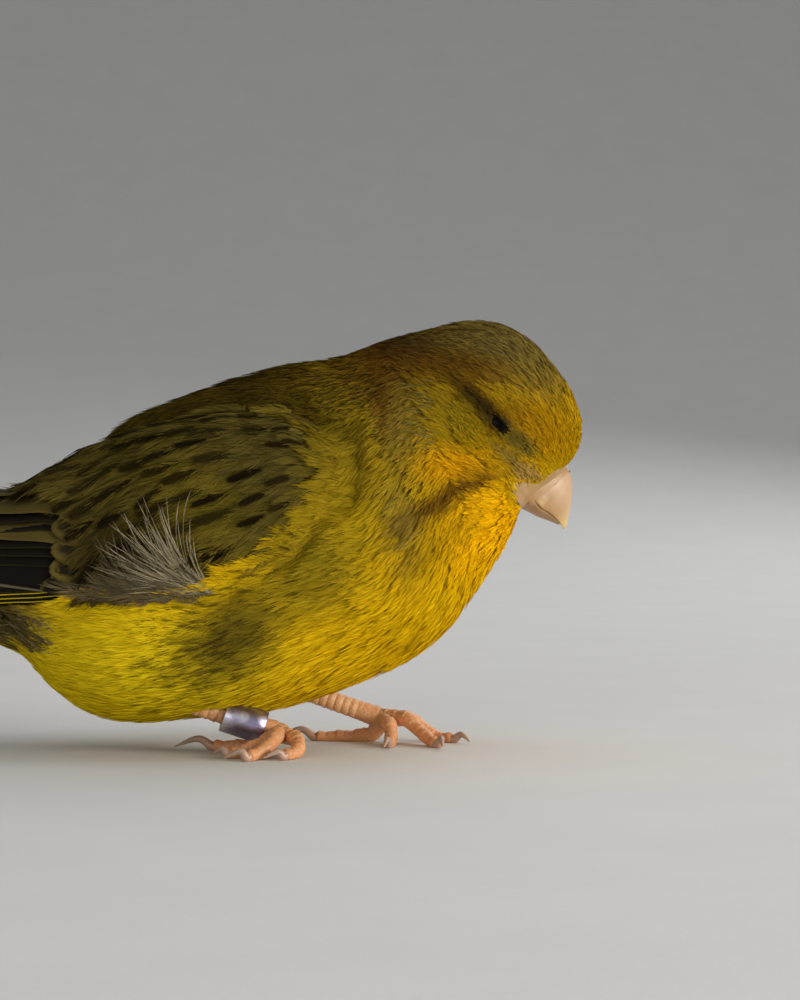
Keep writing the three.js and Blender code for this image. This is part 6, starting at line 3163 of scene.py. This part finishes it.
def horn_material(name: str, rough: float) -> bpy.types.Material:
    """Builds horn with faint growth lines.

    Args:
        name: the material's name.
        rough: how dull it is.

    Returns:
        The material.
    """
    graph = Graph(name)
    across, along = graph.own_map()
    lines = graph.noise(graph.stretched(across, along, 3.0, 26.0), 1.0, 2.0)
    streaks = graph.noise(graph.stretched(across, along, 46.0, 2.5), 1.0, 2.0)
    blotch = graph.noise(graph.place(), 380.0, 3.0)
    height = lines * 0.6 + streaks * 0.4
    return graph.surface(
        Base_Color=graph.toned(0.80 + blotch * 0.26 + streaks * 0.14),
        Roughness=rough + (blotch - 0.5) * 0.14, Normal=graph.bump(height, 0.22, 0.00015),
        Subsurface_Weight=0.15, Subsurface_Radius=HORN_RADIUS, Subsurface_Scale=0.6,
        Coat_Weight=0.15, Coat_Roughness=0.25,
    )


PUPIL = (0.002, 0.0015, 0.001)
IRIS = (0.022, 0.010, 0.004)
METAL_DARK = (0.37, 0.34, 0.50)
METAL_WORN = (0.68, 0.66, 0.71)
FLESH_RADIUS = (0.002, 0.0008, 0.0005)
HORN_RADIUS = (0.002, 0.001, 0.0006)


def eye_material() -> bpy.types.Material:
    """Builds the wet, dark eye.

    Returns:
        The material.
    """
    graph = Graph("eye_wet")
    across, along = graph.own_map()
    rays = graph.noise(graph.stretched(across, along, 40.0, 6.0), 1.0, 2.0)
    iris = along.smooth(0.10, 0.14)
    colour = graph.mix(iris * (0.4 + rays * 0.6), PUPIL, IRIS)
    return graph.surface(Base_Color=colour, Roughness=0.25, Specular_IOR_Level=0.05)


def ring_material() -> bpy.types.Material:
    """Builds the worn, tinted metal of the leg ring.

    Returns:
        The material.
    """
    graph = Graph("ring_metal")
    across, along = graph.own_map()
    scratches = graph.noise(graph.stretched(across, along, 5.0, 90.0), 1.0, 3.0)
    wear = graph.noise(graph.place(), 520.0, 4.0)
    colour = graph.mix(wear.smooth(0.42, 0.66), METAL_DARK, METAL_WORN)
    return graph.surface(
        Base_Color=colour, Metallic=1.0, Roughness=0.22 + wear * 0.3,
        Normal=graph.bump(scratches, 0.15, 0.0001),
    )


# Floor, light and camera


@dataclass(frozen=True)
class CameraPlan:
    """Where the camera stands, in millimetres before the frame's offset.

    Args:
        place: its place.
        pitch: how far it looks down, in degrees.
        lens: its focal length for a sensor of 36 mm on the long side.
    """

    place: Point = (40.4, -300.0, 31.0)
    pitch: float = 0.64
    lens: float = 97.2


@dataclass(frozen=True)
class LampPlan:
    """A soft lamp.

    Args:
        name: its name.
        place: where it hangs, in metres.
        size: the side of its square, in metres.
        power: its power in watts.
        colour: its colour.
    """

    name: str
    place: Point
    size: float
    power: float
    colour: Point


LAMPS = (
    LampPlan("key_lamp", (0.55, -0.30, 0.10), 0.30, 3.9, (1.0, 0.97, 0.92)),
    LampPlan("fill_lamp", (-0.25, -0.65, 0.06), 0.50, 1.6, (1.0, 0.99, 0.97)),
    LampPlan("top_lamp", (0.10, 0.05, 0.62), 0.60, 1.0, (1.0, 0.99, 0.97)),
    LampPlan("back_lamp", (0.25, 0.45, 0.34), 0.45, 0.9, (0.96, 0.98, 1.0)),
)


class Studio:
    """Sets up the floor, the lamps and the camera."""

    HALF = 2.0
    NEAR = 0.4
    BEND = 1.1
    PAPER = ((0.70, 0.69, 0.67), (0.76, 0.75, 0.73))
    TARGET = Vector((0.0, 0.0, 0.02))
    SKY = (0.92, 0.95, 1.0, 1.0)
    SKY_STRENGTH = 0.22
    SENSOR = 36.0
    CLIP_START = 0.01

    def floor(self) -> None:
        """Lays a plain pale floor that curves up far behind."""
        mesh = bpy.data.meshes.new("floor")
        rise = [(-self.HALF, 0.0)]
        for turn in np.radians(np.arange(0, 90, 3)):
            rise.append((self.NEAR + self.BEND * math.sin(turn), self.BEND * (1 - math.cos(turn))))
        points = [(x, y, z) for y, z in rise for x in (-self.HALF, self.HALF)]
        faces = [(2 * i, 2 * i + 1, 2 * i + 3, 2 * i + 2) for i in range(len(rise) - 1)]
        mesh.from_pydata(points, [], faces)
        mesh.polygons.foreach_set("use_smooth", np.ones(len(faces), dtype=bool))
        graph = Graph("floor_paper")
        grain = graph.noise(graph.place(), 60.0, 4.0)
        graph.surface(
            Base_Color=graph.mix(grain, *self.PAPER), Roughness=0.9,
            Normal=graph.bump(graph.noise(graph.place(), 700.0, 3.0), 0.1, 0.0003),
        )
        mesh.materials.append(graph.material)
        floor = bpy.data.objects.new("floor", mesh)
        bpy.context.scene.collection.objects.link(floor)

    def lamps(self) -> None:
        """Hangs the lamps and lights the surroundings evenly."""
        for plan in LAMPS:
            light = bpy.data.lights.new(plan.name, "AREA")
            light.shape = "SQUARE"
            light.size = plan.size
            light.energy = plan.power
            light.color = plan.colour
            lamp = bpy.data.objects.new(plan.name, light)
            lamp.location = plan.place
            lamp.rotation_euler = (self.TARGET - Vector(plan.place)).to_track_quat("-Z", "Y").to_euler()
            bpy.context.scene.collection.objects.link(lamp)
        world = bpy.data.worlds.new("studio")
        world.use_nodes = True
        background = world.node_tree.nodes["Background"]
        background.inputs["Color"].default_value = self.SKY
        background.inputs["Strength"].default_value = self.SKY_STRENGTH
        bpy.context.scene.world = world
        bpy.context.scene.view_settings.view_transform = "Standard"

    def camera(self, plan: CameraPlan) -> None:
        """Places the camera at the photograph's view.

        Args:
            plan: where it stands.
        """
        data = bpy.data.cameras.new("camera")
        data.sensor_fit = "AUTO"
        data.sensor_width = self.SENSOR
        data.lens = plan.lens
        data.clip_start = self.CLIP_START
        camera = bpy.data.objects.new("camera", data)
        camera.location = Vector(PLACE(np.array(plan.place)))
        camera.rotation_euler = (math.radians(90.0 - plan.pitch), 0.0, 0.0)
        bpy.context.scene.collection.objects.link(camera)
        bpy.context.scene.camera = camera


class Bird:
    """Builds every piece of the canary."""

    def __init__(self) -> None:
        """Builds the finishes and the body's grid."""
        self.small = SMALL_FEATHER.build()
        self.wing = WING_FEATHER.build()
        self.long = LONG_FEATHER.build()
        self.wisp = WISP_FEATHER.build()
        self.leg_skin = bare_skin_material("leg_skin", rough=0.48, fine=2600.0, wet=0.12)
        self.grid = BodyGrid(FIELD, GridSizes())

    def skin(self) -> None:
        """Builds the skin, which stands for the head, neck and torso."""
        piece = build_object("skin", skin_arrays(self.grid), skin_material())
        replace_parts(piece, "head", "neck", "torso")

    def coat(self) -> None:
        """Grows the small feathers over the body."""
        coat = BodyCoat(self.grid)
        for number, region in enumerate(REGIONS):
            name = f"coat_{region.zone.value}"
            build_object(name, coat.grow(region, SEED + number), self.small)

    def wings(self) -> None:
        """Builds both wings."""
        long = LongFeathers(SEED + SEED_STEPS["flight"])
        flight = MeshArrays.joined([mesh for row in FLIGHT_ROWS for mesh in long.wing_row(row)])
        coat = WingCoat(CovertSizes())
        coverts = MeshArrays.joined([
            coat.streaked(SEED + SEED_STEPS["streaked"]), coat.plain(SEED + SEED_STEPS["plain"]),
        ])
        for side in Side:
            name = side.name.lower()
            data = flight.on_side(side)
            piece = build_object(f"flight_feathers_{name}", data, self.long)
            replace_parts(piece, f"wing_{name}")
            build_object(f"wing_coverts_{name}", coverts.on_side(side), self.wing)

    def tail(self) -> None:
        """Builds the tail."""
        data = MeshArrays.joined(LongFeathers(SEED + SEED_STEPS["tail"]).tail())
        piece = build_object("tail_feathers", data, self.long)
        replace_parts(piece, "tail")

    def wisps(self) -> None:
        """Builds the loose wisps of both sides."""
        builder = WispBuilder(SEED + SEED_STEPS["wisps"])
        data = MeshArrays.joined([builder.build(tuft) for tuft in WISPS])
        for side in Side:
            build_object(f"wisps_{side.name.lower()}", data.on_side(side), self.wisp)

    def head_parts(self) -> None:
        """Builds the eyes, the lids and the bill."""
        wet = eye_material()
        horn = horn_material("bill_horn", 0.42)
        bill = BillBuilder()
        lid_skin = bare_skin_material("lid_skin", rough=0.85, fine=3200.0, wet=0.0, shine=0.03)
        for side in Side:
            name = side.name.lower()
            eye = EyeBuilder(side)
            piece = build_object(f"eyeball_{name}", eye.ball(), wet)
            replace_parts(piece, f"eye_{name}")
            build_object(f"eyelids_{name}", eye.lids(), lid_skin)
            build_object(f"mouth_corner_{name}", bill.corner(side), horn)
        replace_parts(build_object("upper_bill", bill.upper(), horn), "bill_upper")
        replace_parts(build_object("lower_bill", bill.lower(), horn), "bill_lower")

    def legs(self) -> None:
        """Builds the legs, the feet, the claws and the ring."""
        claw_horn = horn_material("claw_horn", 0.38)
        for side, plan in LEGS.items():
            name = side.name.lower()
            leg = LegBuilder(plan, LegSizes())
            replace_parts(build_object(f"shank_{name}", leg.leg(), self.leg_skin), f"leg_{name}")
            build_object(f"scutes_{name}", leg.scutes(self.leg_skin), self.leg_skin)
            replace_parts(build_object(f"toes_{name}", leg.foot(), self.leg_skin), f"foot_{name}")
            for toe in plan.toes:
                piece = build_object(f"nail_{name}_{toe}", leg.claw(toe), claw_horn)
                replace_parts(piece, f"claw_{name}_{toe}")
            if side is Side.RIGHT:
                piece = build_object("ring_band", leg.ring(), ring_material())
                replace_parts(piece, "leg_ring")


def main() -> None:
    """Builds the scene piece by piece."""
    logging.basicConfig(level=logging.INFO, format="%(name)s: %(message)s")
    studio = Studio()
    studio.floor()
    studio.lamps()
    studio.camera(CameraPlan())
    bird = Bird()
    LOG.info("body grid ready")
    bird.skin()
    bird.coat()
    bird.wings()
    bird.tail()
    bird.wisps()
    bird.head_parts()
    bird.legs()


if __name__ == "__main__":
    main()
